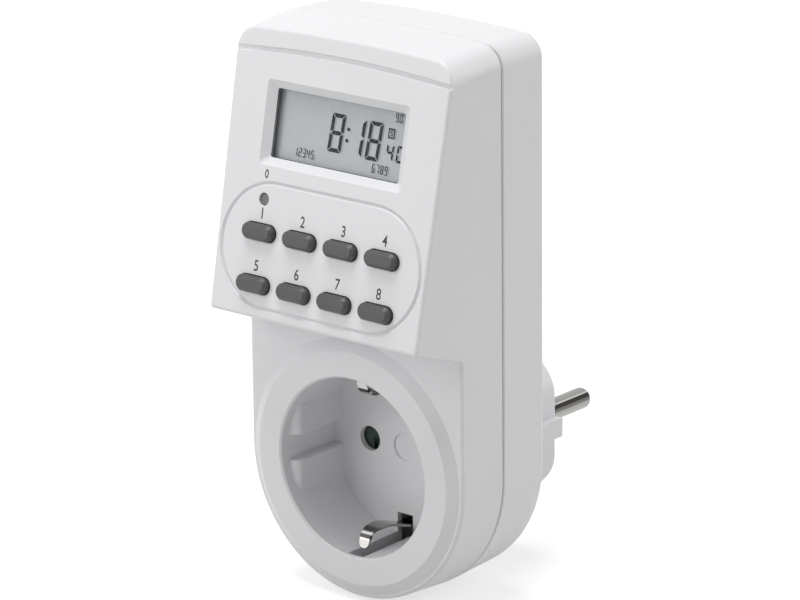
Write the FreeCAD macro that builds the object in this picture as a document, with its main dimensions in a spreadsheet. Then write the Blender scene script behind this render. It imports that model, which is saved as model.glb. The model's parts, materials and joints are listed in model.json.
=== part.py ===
"""Plug-in digital timer with an earthed socket in front, a plug behind and a sloping console.

Millimetres. X runs to the viewer's right, Y from the socket to the plug, Z up. The origin is the middle of
the plug's face, between its two pins. The socket and the plug share the Y axis.
"""

import FreeCAD, Part
import math
import os
import Sketcher
from FreeCAD import Placement, Rotation, Vector

doc = FreeCAD.newDocument("digital_timer")
sheet = doc.addObject("Spreadsheet::Sheet", "sizes")

SIZES = {
    # housing, seen from the front
    "seam_half_width": 29.6,
    "seam_top": 93.3,
    "back_draft": 0.5,
    "back_drop": 0.4,
    "nose_draft": 1.8,
    "nose_drop": 2.1,
    "top_corner": 5.0,
    "crown_radius": 454.0,
    "wall": 2.0,
    "edge_round": 0.8,
    "back_round": 1.4,
    # housing, from the plug's face forward
    "plug_length": 20.3,
    "rear_depth": 14.8,
    "back_room": 0.7,
    "nose_depth": 14.0,
    "seam_gap": 0.4,
    "seam_chamfer": 0.25,
    "lap_depth": 1.8,
    "lap_inset": 1.1,
    "fit_gap": 0.1,
    # socket ring and recess
    "ring_margin": 1.7,
    "ring_flare": 2.4,
    "ring_step": 1.5,
    "recess_radius": 19.6,
    "recess_floor_radius": 19.5,
    "recess_depth": 17.5,
    "rim_chamfer": 0.4,
    "well_wall": 2.3,
    "floor_thickness": 1.3,
    "guide_room": 0.8,
    "guide_low": 2.75,
    "guide_high": 9.55,
    "guide_setback": 2.6,
    "guide_chamfer": 1.5,
    "guide_round": 0.5,
    "centre_mark_radius": 3.0,
    "centre_mark_depth": 0.4,
    "pin_spacing": 19.0,
    "pin_hole_radius": 2.75,
    # console
    "console_overhang": 12.13,
    "console_bottom": 33.1,
    "console_foot": 28.4,
    "panel_tilt": 11.7,
    "cap_rise": 6.55,
    "groove_crown_radius": 312.0,
    "groove_width": 0.6,
    # keypad, in the panel's plane
    "pad_rise": 2.93,
    "pad_margin": 5.9,
    "pad_radius": 13.1,
    "pad_groove": 0.5,
    "key_space": 1.3,
    "row_space": 6.15,
    "lower_row": 6.95,
    "key_half_length": 4.2,
    "key_radius": 1.75,
    "key_proud": 1.7,
    "key_edge": 0.65,
    "key_soft": 0.2,
    "key_travel": 0.8,
    "key_gap": 0.2,
    "key_flange": 0.8,
    "key_flange_lip": 0.65,
    "stem_radius": 1.4,
    "stem_length": 1.0,
    "reset_rise": 6.9,
    "reset_radius": 1.15,
    "reset_recess": 0.4,
    "mat_thickness": 1.0,
    "mat_collar_radius": 2.7,
    "mat_collar_height": 0.9,
    "mat_margin": 0.8,
    # display
    "display_rise": 0.45,
    "bezel_flare_x": 1.95,
    "bezel_flare_z": 1.7,
    "view_half_width": 17.05,
    "view_half_height": 7.2,
    "bezel_depth": 1.25,
    "bezel_corner": 1.1,
    "view_corner": 0.5,
    "window_lip": 2.0,
    "window_thickness": 0.9,
    "glass_depth": 2.75,
    "glass_thickness": 0.8,
    "glass_margin_x": 2.85,
    "glass_margin_z": 1.7,
    "glass_step": 1.6,
    "lcd_frame_margin": 1.3,
    "contact_strip_width": 2.0,
    # boards
    "board_thickness": 1.6,
    "board_room": 1.4,
    "board_margin": 0.4,
    "board_screw_radius": 1.0,
    "board_screw_head": 1.9,
    "board_boss_radius": 1.9,
    "side_screw_inset": 2.0,
    "side_screw_rise": 3.2,
    "power_board_room": 3.1,
    "power_board_rise": 11.4,
    "power_board_drop": 11.3,
    "power_board_standoff": 2.0,
    "part_gap": 1.5,
    "relay_drop": 3.2,
    "relay_wide": 19.0,
    "relay_high": 15.5,
    "relay_deep": 15.3,
    "film_wide": 18.0,
    "film_high": 8.5,
    "film_deep": 14.5,
    "can_radius": 4.0,
    "can_deep": 11.5,
    "diode_radius": 1.3,
    "diode_length": 5.0,
    "diode_pitch": 4.2,
    "lead_width": 0.6,
    "lead_reach": 2.5,
    "resistor_radius": 2.0,
    "resistor_length": 11.0,
    "transistor_radius": 2.3,
    "transistor_high": 4.5,
    "chip_radius": 6.0,
    "chip_height": 1.4,
    "crystal_radius": 1.0,
    "crystal_length": 6.0,
    "cell_radius": 6.0,
    "cell_deep": 5.2,
    "cell_tab": 0.3,
    "power_screw_side": 3.5,
    "power_screw_inset": 4.0,
    # screws that close the housing
    "screw_radius": 1.5,
    "screw_head_radius": 2.7,
    "screw_head_height": 2.2,
    "screw_length": 15.0,
    "screw_sink": 4.5,
    "front_boss_radius": 3.0,
    "rear_boss_radius": 3.9,
    "screw_inset": 6.3,
    # plug
    "plug_room": 1.0,
    "plug_flat_inset": 3.4,
    "rib_inset": 0.25,
    "plug_rib_half": 2.1,
    "plug_edge": 0.7,
    "plug_face_wall": 3.0,
    "plug_wall": 2.2,
    "pin_radius": 2.4,
    "pin_length": 19.0,
    "pin_nose": 1.9,
    "pin_collar": 0.3,
    "pin_flange_radius": 4.0,
    "pin_flange": 1.2,
    "pin_tail_radius": 1.9,
    "earth_groove_half": 3.3,
    "earth_groove_depth": 3.1,
    # contacts and earth
    "strip_thickness": 0.8,
    "clip_half_width": 1.85,
    "clip_tip_half": 1.3,
    "clip_thickness": 0.6,
    "clip_round": 2.4,
    "clip_crest_round": 9.0,
    "clip_taper_start": 2.2,
    "clip_slot_half": 2.1,
    "clip_slot_room": 2.0,
    "clip_slot_sink": 2.8,
    "clip_slot_start": 1.1,
    "clip_root_inset": 2.6,
    "clip_crest_inset": 4.85,
    "clip_crest_depth": 10.2,
    "clip_bend_depth": 4.6,
    "clip_tip_room": 0.9,
    "clip_tip_depth": 3.4,
    "plug_strip_half_width": 2.6,
    "contact_half_width": 2.4,
    "contact_length": 12.4,
    "contact_mouth": 3.7,
    "contact_pinch": 2.5,
    "carrier_plate": 2.5,
    "strap_overlap": 5.0,
    "strap_width": 1.8,
    "carrier_room": 0.7,
    "ribbon_half_width": 6.0,
    "ribbon_thickness": 0.6,
    "ribbon_height": 9.0,
    "ribbon_sag": 4.0,
    # child protection shutter
    "shutter_margin": 0.75,
    "shutter_thickness": 2.5,
    "shutter_gap": 0.3,
    "shutter_swing": 38.0,
    "shutter_window_room": 0.35,
    "post_radius": 2.0,
    "running_gap": 0.05,
    "shutter_spring_room": 1.7,
    "spring_wire": 0.6,
    "spring_radius": 3.0,
    "cover_wall": 1.0,
}

for row, (alias, value) in enumerate(SIZES.items(), start=1):
    sheet.set(f"A{row}", alias)
    sheet.set(f"B{row}", str(value))
    sheet.setAlias(f"B{row}", alias)
doc.recompute()


class Size:
    """A number together with the spreadsheet formula that gives it."""

    def __init__(self, number, formula):
        self.number = float(number)
        self.formula = formula

    def __add__(self, other):
        other = as_size(other)
        return Size(self.number + other.number, f"({self.formula} + {other.formula})")

    def __sub__(self, other):
        other = as_size(other)
        return Size(self.number - other.number, f"({self.formula} - {other.formula})")

    def __mul__(self, other):
        other = as_size(other)
        return Size(self.number * other.number, f"({self.formula} * {other.formula})")

    def __truediv__(self, other):
        other = as_size(other)
        return Size(self.number / other.number, f"({self.formula} / {other.formula})")

    def __neg__(self):
        return Size(-self.number, f"(0 - {self.formula})")

    def __radd__(self, other):
        return as_size(other) + self

    def __rsub__(self, other):
        return as_size(other) - self

    def __rmul__(self, other):
        return as_size(other) * self


def as_size(value):
    """A plain number counts as a size whose formula is the number itself."""
    return value if isinstance(value, Size) else Size(value, f"({value})")


def root(value):
    return Size(math.sqrt(value.number), f"sqrt({value.formula})")


def sine(angle):
    return Size(math.sin(math.radians(angle.number)), f"sin({angle.formula})")


def cosine(angle):
    return Size(math.cos(math.radians(angle.number)), f"cos({angle.formula})")


class Sheet:
    """Reads a size from the spreadsheet by its alias."""

    def __getattr__(self, alias):
        return Size(sheet.get(alias), f"sizes.{alias}")


s = Sheet()
ZERO = Size(0, "0")


def bind(thing, prop, value):
    """Ties one property to its spreadsheet formula."""
    thing.setExpression(prop, as_size(value).formula)


def place(thing, x=ZERO, y=ZERO, z=ZERO):
    """Moves a piece to a point given by sizes."""
    for axis, value in zip("xyz", (x, y, z)):
        bind(thing, f"Placement.Base.{axis}", value)


def on_panel(thing):
    """Puts a piece drawn in the panel's plane (x, height up the panel, outwards) onto the sloping panel."""
    thing.Placement = Placement(Vector(), Rotation(Vector(1, 0, 0), 90 - s.panel_tilt.number))
    bind(thing, "Placement.Rotation.Angle", 90 - s.panel_tilt)
    bind(thing, "Placement.Base.y", panel_y)
    bind(thing, "Placement.Base.z", panel_z)
    return thing


# Places along the timer, worked out from the sizes

back_y = -s.plug_length
seam_y = back_y - s.rear_depth
rear_inner_y = back_y - s.wall
earth_bar_back = rear_inner_y - s.strip_thickness - s.back_room
earth_bar_front = earth_bar_back - s.strip_thickness
cover_back = earth_bar_front - s.fit_gap
cover_inner = cover_back - s.cover_wall
shutter_back = cover_inner - s.shutter_spring_room
shutter_front = shutter_back - s.shutter_thickness
floor_back_y = shutter_front - s.shutter_gap
floor_y = floor_back_y - s.floor_thickness
ring_y = floor_y - s.recess_depth
lower_y = ring_y + s.ring_step
nose_y = ring_y - s.nose_depth
panel_y = ring_y - s.console_overhang
panel_z = s.console_bottom
pin_x = s.pin_spacing / 2
tilt_sine = sine(s.panel_tilt)
tilt_cosine = cosine(s.panel_tilt)
tilt_slope = tilt_sine / tilt_cosine
FAR = Size(120, "120")

# Widths and heights, worked out from the sizes

back_half_width = s.seam_half_width - s.back_draft
back_top = s.seam_top - s.back_drop
nose_half_width = s.seam_half_width - s.nose_draft
nose_top = s.seam_top - s.nose_drop
plug_radius = s.recess_radius - s.plug_room
plug_rib = plug_radius - s.rib_inset
ring_foot_radius = s.seam_half_width - s.ring_margin
ring_radius = ring_foot_radius - s.ring_flare
earth_groove_floor = plug_radius - s.earth_groove_depth
pin_collar_radius = s.pin_radius + s.pin_collar
plug_flat = s.recess_radius - s.plug_flat_inset
plug_room_x = plug_flat - s.plug_wall
plug_room_z = earth_groove_floor - s.plug_wall
plug_room_radius = plug_radius - s.plug_wall
strap_high = plug_room_z - s.key_gap
carrier_half_height = strap_high - s.strip_thickness - s.carrier_room
guide_inner = plug_flat + s.guide_room
shutter_radius = pin_x + s.pin_hole_radius + s.shutter_margin
shutter_window_radius = s.pin_hole_radius + s.shutter_window_room
cover_radius = shutter_radius + s.shutter_gap + s.cover_wall
clip_root = s.recess_radius - s.clip_root_inset
clip_reach = s.recess_radius - s.clip_crest_inset
clip_slot_low = clip_root - s.clip_slot_room
clip_slot_high = s.recess_radius + s.clip_slot_sink
clip_tip = s.recess_radius - s.clip_tip_room

# The keypad and the display, up the panel from its bottom edge

column_pitch = 2 * (s.key_half_length + s.key_flange_lip) + s.key_space
row_pitch = 2 * (s.key_radius + s.key_flange_lip) + s.row_space
upper_row = s.lower_row + row_pitch
middle_row = (s.lower_row + upper_row) / 2
pad_height = middle_row + s.pad_rise
pad_straight = 1.5 * column_pitch + s.key_half_length + s.pad_margin - s.pad_radius
reset_height = upper_row + s.reset_rise
mat_half_width = 1.5 * column_pitch + s.mat_collar_radius + s.mat_margin
mat_bottom = s.lower_row - s.mat_collar_radius - s.mat_margin
mat_top = reset_height + s.mat_collar_radius
board_half_width = nose_half_width - s.wall - s.board_room
board_bottom = mat_bottom - s.board_margin
side_screw_x = board_half_width - s.side_screw_inset
side_screw_height = reset_height + s.side_screw_rise
view_half_width = s.view_half_width
bezel_half_width = view_half_width + s.bezel_flare_x
bezel_half_height = s.view_half_height + s.bezel_flare_z
glass_half_width = view_half_width + s.glass_margin_x
glass_half_height = s.view_half_height + s.glass_margin_z
frame_half_height = glass_half_height + s.key_gap + s.lcd_frame_margin
display_height = side_screw_height + s.board_boss_radius + s.display_rise + frame_half_height
groove_height = display_height + bezel_half_height + s.cap_rise
board_top = display_height + frame_half_height + s.board_margin
power_board_half_width = back_half_width - s.wall - s.power_board_room
power_board_bottom = s.recess_radius + s.well_wall + s.power_board_rise
power_board_top = s.seam_top - s.power_board_drop
power_screw_x = power_board_half_width - s.power_screw_side

# Depths behind the panel's surface, as heights in the panel's plane

panel_inner = -s.wall
flange_front = panel_inner - s.key_gap
flange_back = flange_front - s.key_flange
mat_collar_top = flange_back - s.key_travel - 0.3
mat_front = mat_collar_top - s.mat_collar_height
board_front = mat_front - s.mat_thickness
board_back = board_front - s.board_thickness
window_front = -s.bezel_depth
window_back = window_front - s.window_thickness
glass_front = -s.glass_depth
glass_back = glass_front - 2 * s.glass_thickness

UPPER_KEYS = ["week_button", "hour_button", "minute_button", "recall_button"]
LOWER_KEYS = ["clock_button", "timer_button", "mode_button", "random_button"]
KEYS = UPPER_KEYS + LOWER_KEYS
first_column = -1.5 * column_pitch


def key_place(name):
    """Where a key stands on the panel: its x and its height."""
    row, up = (UPPER_KEYS, upper_row) if name in UPPER_KEYS else (LOWER_KEYS, s.lower_row)
    return first_column + row.index(name) * column_pitch, up


# Sketches


def body(label):
    made = doc.addObject("PartDesign::Body", label)
    made.Label = label
    return made


def origin_plane(owner, role):
    return next(f for f in owner.Origin.OriginFeatures if f.Role == role)


def sketch(owner, role, offset=ZERO):
    """An empty sketch on one of the body's origin planes, moved along that plane's normal."""
    made = owner.newObject("Sketcher::SketchObject", "sketch")
    made.AttachmentSupport = [(origin_plane(owner, role), "")]
    made.MapMode = "FlatFace"
    made.AttachmentOffset = Placement(Vector(0, 0, offset.number), Rotation())
    if offset is not ZERO:
        bind(made, "AttachmentOffset.Base.z", offset)
    return made


def dimension(sk, kind, where, value):
    """Adds one driving dimension, tied to the spreadsheet."""
    index = sk.addConstraint(Sketcher.Constraint(kind, *where, as_size(value).number))
    sk.renameConstraint(index, f"dim{index}")
    bind(sk, f"Constraints.dim{index}", value)


def pin_point(sk, geometry, vertex, x, y):
    """Fixes a point of the sketch by its two coordinates."""
    if as_size(x).formula == "0":
        sk.addConstraint(Sketcher.Constraint("PointOnObject", geometry, vertex, -2))
    else:
        dimension(sk, "DistanceX", (-1, 1, geometry, vertex), x)
    if as_size(y).formula == "0":
        sk.addConstraint(Sketcher.Constraint("PointOnObject", geometry, vertex, -1))
    else:
        dimension(sk, "DistanceY", (-1, 1, geometry, vertex), y)


def polygon(sk, points):
    """A closed outline of straight lines through the given corners."""
    points = [(as_size(x), as_size(y)) for x, y in points]
    corners = [Vector(x.number, y.number, 0) for x, y in points]
    first = sk.GeometryCount
    count = len(points)
    for i in range(count):
        sk.addGeometry(Part.LineSegment(corners[i], corners[(i + 1) % count]), False)
    for i in range(count):
        sk.addConstraint(Sketcher.Constraint("Coincident", first + i, 2, first + (i + 1) % count, 1))
        pin_point(sk, first + i, 1, *points[i])
    return sk


def rectangle(sk, left, right, low, high):
    return polygon(sk, [(left, low), (right, low), (right, high), (left, high)])


def soft_rectangle(sk, half_width, low, high, radius):
    """A rectangle with round corners, even about the y axis."""
    w, b, t, r = half_width.number, low.number, high.number, as_size(radius).number
    up = Vector(0, 0, 1)
    centres = [(w - r, b + r), (w - r, t - r), (r - w, t - r), (r - w, b + r)]
    sides = [((w, b + r), (w, t - r)), ((w - r, t), (r - w, t)), ((-w, t - r), (-w, b + r)), ((r - w, b), (w - r, b))]
    quarter = math.pi / 2
    first = sk.GeometryCount
    for turn, (centre, (start, end)) in enumerate(zip(centres, sides)):
        bend = Part.Circle(Vector(*centre, 0), up, r)
        sk.addGeometry(Part.ArcOfCircle(bend, (turn - 1) * quarter, turn * quarter), False)
        sk.addGeometry(Part.LineSegment(Vector(*start, 0), Vector(*end, 0)), False)
    for i in range(8):
        sk.addConstraint(Sketcher.Constraint("Tangent", first + i, 2, first + (i + 1) % 8, 1))
    for i in (2, 4, 6):
        sk.addConstraint(Sketcher.Constraint("Equal", first, first + i))
    for i, kind in ((1, "Vertical"), (3, "Horizontal")):
        sk.addConstraint(Sketcher.Constraint(kind, first + i))
    dimension(sk, "Radius", (first,), radius)
    pin_point(sk, first, 3, half_width - radius, low + radius)
    pin_point(sk, first + 4, 3, radius - half_width, high - radius)
    return sk


def circle(sk, x, y, radius):
    centre = Vector(as_size(x).number, as_size(y).number, 0)
    index = sk.addGeometry(Part.Circle(centre, Vector(0, 0, 1), radius.number), False)
    dimension(sk, "Radius", (index,), radius)
    pin_point(sk, index, 3, x, y)
    return sk


def stadium(sk, x, y, half_length, radius):
    """A slot shape: two half circles joined by straight sides. half_length reaches its round ends."""
    cx, cy, r = as_size(x).number, as_size(y).number, as_size(radius).number
    reach = as_size(half_length).number - r
    quarter = math.pi / 2
    up = Vector(0, 0, 1)
    left, right = Vector(cx - reach, cy, 0), Vector(cx + reach, cy, 0)
    first = sk.GeometryCount
    sk.addGeometry(Part.ArcOfCircle(Part.Circle(right, up, r), -quarter, quarter), False)
    sk.addGeometry(Part.LineSegment(right + Vector(0, r, 0), left + Vector(0, r, 0)), False)
    sk.addGeometry(Part.ArcOfCircle(Part.Circle(left, up, r), quarter, 3 * quarter), False)
    sk.addGeometry(Part.LineSegment(left - Vector(0, r, 0), right - Vector(0, r, 0)), False)
    sk.addConstraint(Sketcher.Constraint("Tangent", first, 2, first + 1, 1))
    sk.addConstraint(Sketcher.Constraint("Tangent", first + 1, 2, first + 2, 1))
    sk.addConstraint(Sketcher.Constraint("Tangent", first + 2, 2, first + 3, 1))
    sk.addConstraint(Sketcher.Constraint("Tangent", first + 3, 2, first, 1))
    dimension(sk, "Radius", (first,), radius)
    pin_point(sk, first, 3, x + half_length - radius, y)
    dimension(sk, "DistanceX", (-1, 1, first + 2, 3), x - half_length + radius)
    return sk


def housing_outline(sk, half_width, top, inset):
    """The timer's front outline: round at the bottom, straight sides, small top corners, a crowned top."""
    wide = half_width - inset
    high = top - inset
    corner = s.top_corner - inset
    crown = s.crown_radius - inset
    w, t, c, k = wide.number, high.number, corner.number, crown.number
    up = Vector(0, 0, 1)
    swing = math.asin((w - c) / (k - c))
    corner_z = t - k + (k - c) * math.cos(swing)
    first = sk.GeometryCount
    sk.addGeometry(Part.ArcOfCircle(Part.Circle(Vector(), up, w), math.pi, 2 * math.pi), False)
    sk.addGeometry(Part.LineSegment(Vector(w, 0, 0), Vector(w, corner_z, 0)), False)
    right = Part.Circle(Vector(w - c, corner_z, 0), up, c)
    sk.addGeometry(Part.ArcOfCircle(right, 0, math.pi / 2 - swing), False)
    over = Part.Circle(Vector(0, t - k, 0), up, k)
    sk.addGeometry(Part.ArcOfCircle(over, math.pi / 2 - swing, math.pi / 2 + swing), False)
    left = Part.Circle(Vector(c - w, corner_z, 0), up, c)
    sk.addGeometry(Part.ArcOfCircle(left, math.pi / 2 + swing, math.pi), False)
    sk.addGeometry(Part.LineSegment(Vector(-w, corner_z, 0), Vector(-w, 0, 0)), False)
    for i in range(6):
        sk.addConstraint(Sketcher.Constraint("Tangent", first + i, 2, first + (i + 1) % 6, 1))
    sk.addConstraint(Sketcher.Constraint("Coincident", first, 3, -1, 1))
    sk.addConstraint(Sketcher.Constraint("PointOnObject", first, 1, -1))
    sk.addConstraint(Sketcher.Constraint("PointOnObject", first + 3, 3, -2))
    dimension(sk, "Radius", (first,), wide)
    dimension(sk, "Radius", (first + 2,), corner)
    dimension(sk, "Radius", (first + 4,), corner)
    dimension(sk, "Radius", (first + 3,), crown)
    dimension(sk, "DistanceY", (-1, 1, first + 3, 3), high - crown)
    return sk


# Features


def pad(owner, sk, length, both_ways=False, backwards=False):
    made = owner.newObject("PartDesign::Pad", "pad")
    made.Profile = sk
    made.Midplane = both_ways
    made.Reversed = backwards
    bind(made, "Length", length)
    owner.Tip = made
    return made


def pocket(owner, sk, length, both_ways=False, backwards=False):
    made = owner.newObject("PartDesign::Pocket", "pocket")
    made.Profile = sk
    made.Midplane = both_ways
    made.Reversed = backwards
    bind(made, "Length", length)
    owner.Tip = made
    return made


def loft(owner, first, *others, cut=False):
    """Straight sides from one outline to the next."""
    kind = "PartDesign::SubtractiveLoft" if cut else "PartDesign::AdditiveLoft"
    made = owner.newObject(kind, "loft")
    made.Profile = first
    made.Sections = list(others)
    made.Ruled = True
    owner.Tip = made
    return made


def revolve(owner, sk, axis="H_Axis"):
    made = owner.newObject("PartDesign::Revolution", "revolution")
    made.Profile = sk
    made.ReferenceAxis = (sk, [axis])
    made.Angle = 360
    owner.Tip = made
    return made


def mirror(owner, feature, role):
    made = owner.newObject("PartDesign::Mirrored", "mirrored")
    made.Originals = [feature]
    made.MirrorPlane = (origin_plane(owner, role), [""])
    owner.Tip = made
    return made


def dress(owner, kind, size_name, value, wanted):
    """Rounds or bevels the edges of the body's tip that a test picks."""
    doc.recompute()
    tip = owner.Tip
    edges = [f"Edge{i + 1}" for i, edge in enumerate(tip.Shape.Edges) if wanted(edge)]
    made = owner.newObject(f"PartDesign::{kind}", kind.lower())
    made.Base = (tip, edges)
    bind(made, size_name, value)
    owner.Tip = made
    return made


def round_edges(owner, radius, wanted):
    return dress(owner, "Fillet", "Radius", radius, wanted)


def bevel_edges(owner, size, wanted):
    return dress(owner, "Chamfer", "Size", size, wanted)


def box(name, x, y, z):
    """A box between pairs of sizes."""
    made = doc.addObject("Part::Box", name)
    for prop, (low, high) in zip(("Length", "Width", "Height"), (x, y, z)):
        bind(made, prop, high - low)
    place(made, as_size(x[0]), as_size(y[0]), as_size(z[0]))
    return made


TURNS = {
    "x": Rotation(Vector(0, 1, 0), 90),
    "y": Rotation(Vector(1, 0, 0), -90),
    "z": Rotation(),
}


def rod(name, radius, axis, low, high, x=ZERO, y=ZERO, z=ZERO):
    """A cylinder along one axis, from low to high, at the other two coordinates."""
    made = doc.addObject("Part::Cylinder", name)
    made.Placement = Placement(Vector(), TURNS[axis])
    bind(made, "Radius", radius)
    bind(made, "Height", high - low)
    start = {"x": x, "y": y, "z": z}
    start[axis] = as_size(low)
    place(made, as_size(start["x"]), as_size(start["y"]), as_size(start["z"]))
    return made


def fuse(name, pieces):
    made = doc.addObject("Part::MultiFuse", name)
    made.Shapes = pieces
    return made


def cut(name, base, tools):
    made = doc.addObject("Part::Cut", name)
    made.Base = base
    made.Tool = tools[0] if len(tools) == 1 else fuse(f"{name}_tools", tools)
    return made


def group(name, pieces):
    made = doc.addObject("Part::Compound", name)
    made.Links = pieces
    return made


SUBPARTS = []


def subpart(thing, label):
    thing.Label = label
    SUBPARTS.append(thing)
    return thing


def signs(*places):
    """Each place with both signs of x."""
    return [(side * x, z) for x, z in places for side in (-1, 1)]


low_reach = (s.seam_half_width - s.screw_inset) * root(as_size(0.5))
screw_places = signs((s.seam_half_width - s.screw_inset, s.seam_top - s.screw_inset), (low_reach, -low_reach))
board_screw_places = signs((column_pitch, middle_row), (side_screw_x, side_screw_height))


# Front housing


def along(edge, vector):
    """True for a straight edge that runs along a direction."""
    if edge.Curve.TypeId != "Part::GeomLine":
        return False
    run = edge.tangentAt(edge.FirstParameter)
    return abs(run.dot(vector)) > 0.99


def console_profile(sk, inset):
    """Everything in front of the housing, seen from the side: lower face, underside, sloping panel."""
    drop = (s.console_bottom - s.console_foot) / (s.console_overhang + s.ring_step)
    lift = inset * root(1 + drop * drop)
    push = inset / tilt_cosine
    rise = (lift - drop * push) / (1 + drop * tilt_slope)
    corner = (panel_y + push + rise * tilt_slope, panel_z + rise)
    foot = (lower_y + inset, s.console_foot - drop * inset + lift)
    reach = Size(70, "70")
    top = (corner[0] + reach * tilt_slope, corner[1] + reach)
    front = nose_y - 10
    below = Size(-45, "(0 - 45)")
    return polygon(sk, [(foot[0], below), foot, corner, top, (front, top[1]), (front, below)])


def front_blank():
    """The front shell's outside: a drafted block with the console cut to its profile, and the socket ring."""
    made = body("front_blank")
    bevel = s.seam_chamfer
    seam = housing_outline(sketch(made, "XZ_Plane", -seam_y), s.seam_half_width, s.seam_top, bevel)
    full = housing_outline(sketch(made, "XZ_Plane", bevel - seam_y), s.seam_half_width, s.seam_top, ZERO)
    nose = housing_outline(sketch(made, "XZ_Plane", -nose_y), nose_half_width, nose_top, ZERO)
    loft(made, seam, full, nose)
    pocket(made, console_profile(sketch(made, "YZ_Plane"), ZERO), FAR, both_ways=True)
    round_edges(made, s.edge_round, front_corner)
    ring = polygon(
        sketch(made, "YZ_Plane"),
        [(ring_y, ZERO), (ring_y, ring_radius), (lower_y, ring_foot_radius),
         (lower_y + s.wall / 2, ring_foot_radius), (lower_y + s.wall / 2, ZERO)],
    )
    revolve(made, ring)
    return made


def front_corner(edge):
    """Edges round the panel, along the console's bottom and underside and round the lower face."""
    box_ = edge.BoundBox
    if box_.YMax > lower_y.number + 0.01:
        return False
    if box_.YLength > s.console_overhang.number and box_.ZMax < s.console_bottom.number + 0.01:
        return True
    low_side = box_.YMin > lower_y.number - 0.01
    across = box_.XLength > 1
    if low_side:
        return box_.ZMax < s.console_foot.number + 0.01 and not (across and box_.ZLength < 0.01)
    return box_.ZLength > 1 or across


def front_cavity():
    """The hollow of the front shell, with the rebate that the rear shell's lip enters."""
    made = body("front_cavity")
    seam = housing_outline(sketch(made, "XZ_Plane", -seam_y), s.seam_half_width, s.seam_top, s.wall)
    nose = housing_outline(sketch(made, "XZ_Plane", -nose_y), nose_half_width, nose_top, s.wall)
    loft(made, seam, nose)
    pocket(made, console_profile(sketch(made, "YZ_Plane"), s.wall), FAR, both_ways=True)
    rebate_start = seam_y - s.lap_depth - s.fit_gap
    lap = s.lap_inset - s.fit_gap
    rebate = housing_outline(sketch(made, "XZ_Plane", -rebate_start), s.seam_half_width, s.seam_top, lap)
    pad(made, rebate, s.lap_depth + s.fit_gap + 1, backwards=True)
    return made


def recess_tool():
    """The socket's recess with its softened rim."""
    made = body("recess_space")
    rim = s.recess_radius + s.rim_chamfer
    revolve(made, polygon(
        sketch(made, "YZ_Plane"),
        [(ring_y - 5, ZERO), (ring_y - 5, rim), (ring_y, rim), (ring_y + s.rim_chamfer, s.recess_radius),
         (floor_y, s.recess_floor_radius), (floor_y, ZERO)],
    ))
    return made


def socket_guide(side, level):
    """One of the four blocks beside the flats of a plug, with a sloping front."""
    made = body("socket_guide")
    start = ring_y + s.guide_setback
    inner = side * guide_inner
    outer = side * (s.recess_radius + s.well_wall / 2)
    corners = [(inner + side * s.guide_chamfer, start), (outer, start), (outer, floor_y + s.floor_thickness / 2),
               (inner, floor_y + s.floor_thickness / 2), (inner, start + s.guide_chamfer)]
    height = s.guide_low if level > 0 else -s.guide_high
    pad(made, polygon(sketch(made, "XY_Plane", height), corners), s.guide_high - s.guide_low)
    round_edges(made, s.guide_round, guide_edge)
    return made


def guide_edge(edge):
    """The edges of a guide that stand free in the recess: beside the plug's rib and round the sloping front."""
    box_ = edge.BoundBox
    inward = min(abs(box_.XMin), abs(box_.XMax))
    if box_.YMin > floor_y.number or inward > s.recess_radius.number + 0.01:
        return False
    level = abs(box_.Center.z)
    return abs(level - s.guide_low.number) < 0.01 or box_.ZLength > 1


def key_hole(name):
    made = body(f"{name}_hole")
    x, up = key_place(name)
    outline = stadium(sketch(made, "XY_Plane", -2 * s.wall), x, up, s.key_half_length + s.key_gap,
                      s.key_radius + s.key_gap)
    pad(made, outline, 3 * s.wall)
    return made


def bezel_space():
    """The funnel round the display and the pocket that holds its window."""
    made = body("bezel_space")
    mid = display_height
    flare = (bezel_half_width - s.view_half_width) / s.bezel_depth
    over = 0.2
    outer = soft_rectangle(
        sketch(made, "XY_Plane", as_size(over)), bezel_half_width + flare * over,
        mid - bezel_half_height - flare * over, mid + bezel_half_height + flare * over, s.bezel_corner,
    )
    inner = soft_rectangle(
        sketch(made, "XY_Plane", window_front), s.view_half_width,
        mid - s.view_half_height, mid + s.view_half_height, s.view_corner,
    )
    loft(made, outer, inner)
    room_x = s.view_half_width + s.window_lip + s.key_gap
    room_y = s.view_half_height + s.window_lip + s.key_gap
    room = rectangle(sketch(made, "XY_Plane", window_front), -room_x, room_x, mid - room_y, mid + room_y)
    pad(made, room, 2 * s.wall, backwards=True)
    return made


def pad_groove():
    """The fine V groove round the keys."""
    made = body("pad_groove")
    mid = pad_height
    reach = pad_straight + s.pad_radius
    grow = s.pad_groove
    top = Size(0.05, "0.05")
    outer = stadium(sketch(made, "XY_Plane", top), ZERO, mid, reach + grow + top, s.pad_radius + grow + top)
    deep = stadium(sketch(made, "XY_Plane", -grow), ZERO, mid, reach, s.pad_radius)
    loft(made, outer, deep)
    inner = stadium(sketch(made, "XY_Plane", top), ZERO, mid, reach - grow - top, s.pad_radius - grow - top)
    foot = stadium(sketch(made, "XY_Plane", -grow), ZERO, mid, reach - 0.01, s.pad_radius - 0.01)
    loft(made, inner, foot, cut=True)
    return made


def cap_groove():
    """The groove below the housing's cap, which follows the crown of the top."""
    made = doc.addObject("Part::Torus", "cap_groove")
    bind(made, "Radius1", s.groove_crown_radius)
    bind(made, "Radius2", s.groove_width)
    place(made, y=groove_height - s.groove_crown_radius)
    return made


def panel_spaces():
    """Everything that is cut through or into the panel."""
    tools = [key_hole(name) for name in KEYS]
    tools.append(rod("reset_hole", s.reset_radius + s.key_gap, "z", -2 * s.wall, s.wall,
                     first_column, reset_height))
    tools += [bezel_space(), pad_groove(), cap_groove()]
    return on_panel(fuse("panel_spaces", tools))


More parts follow.
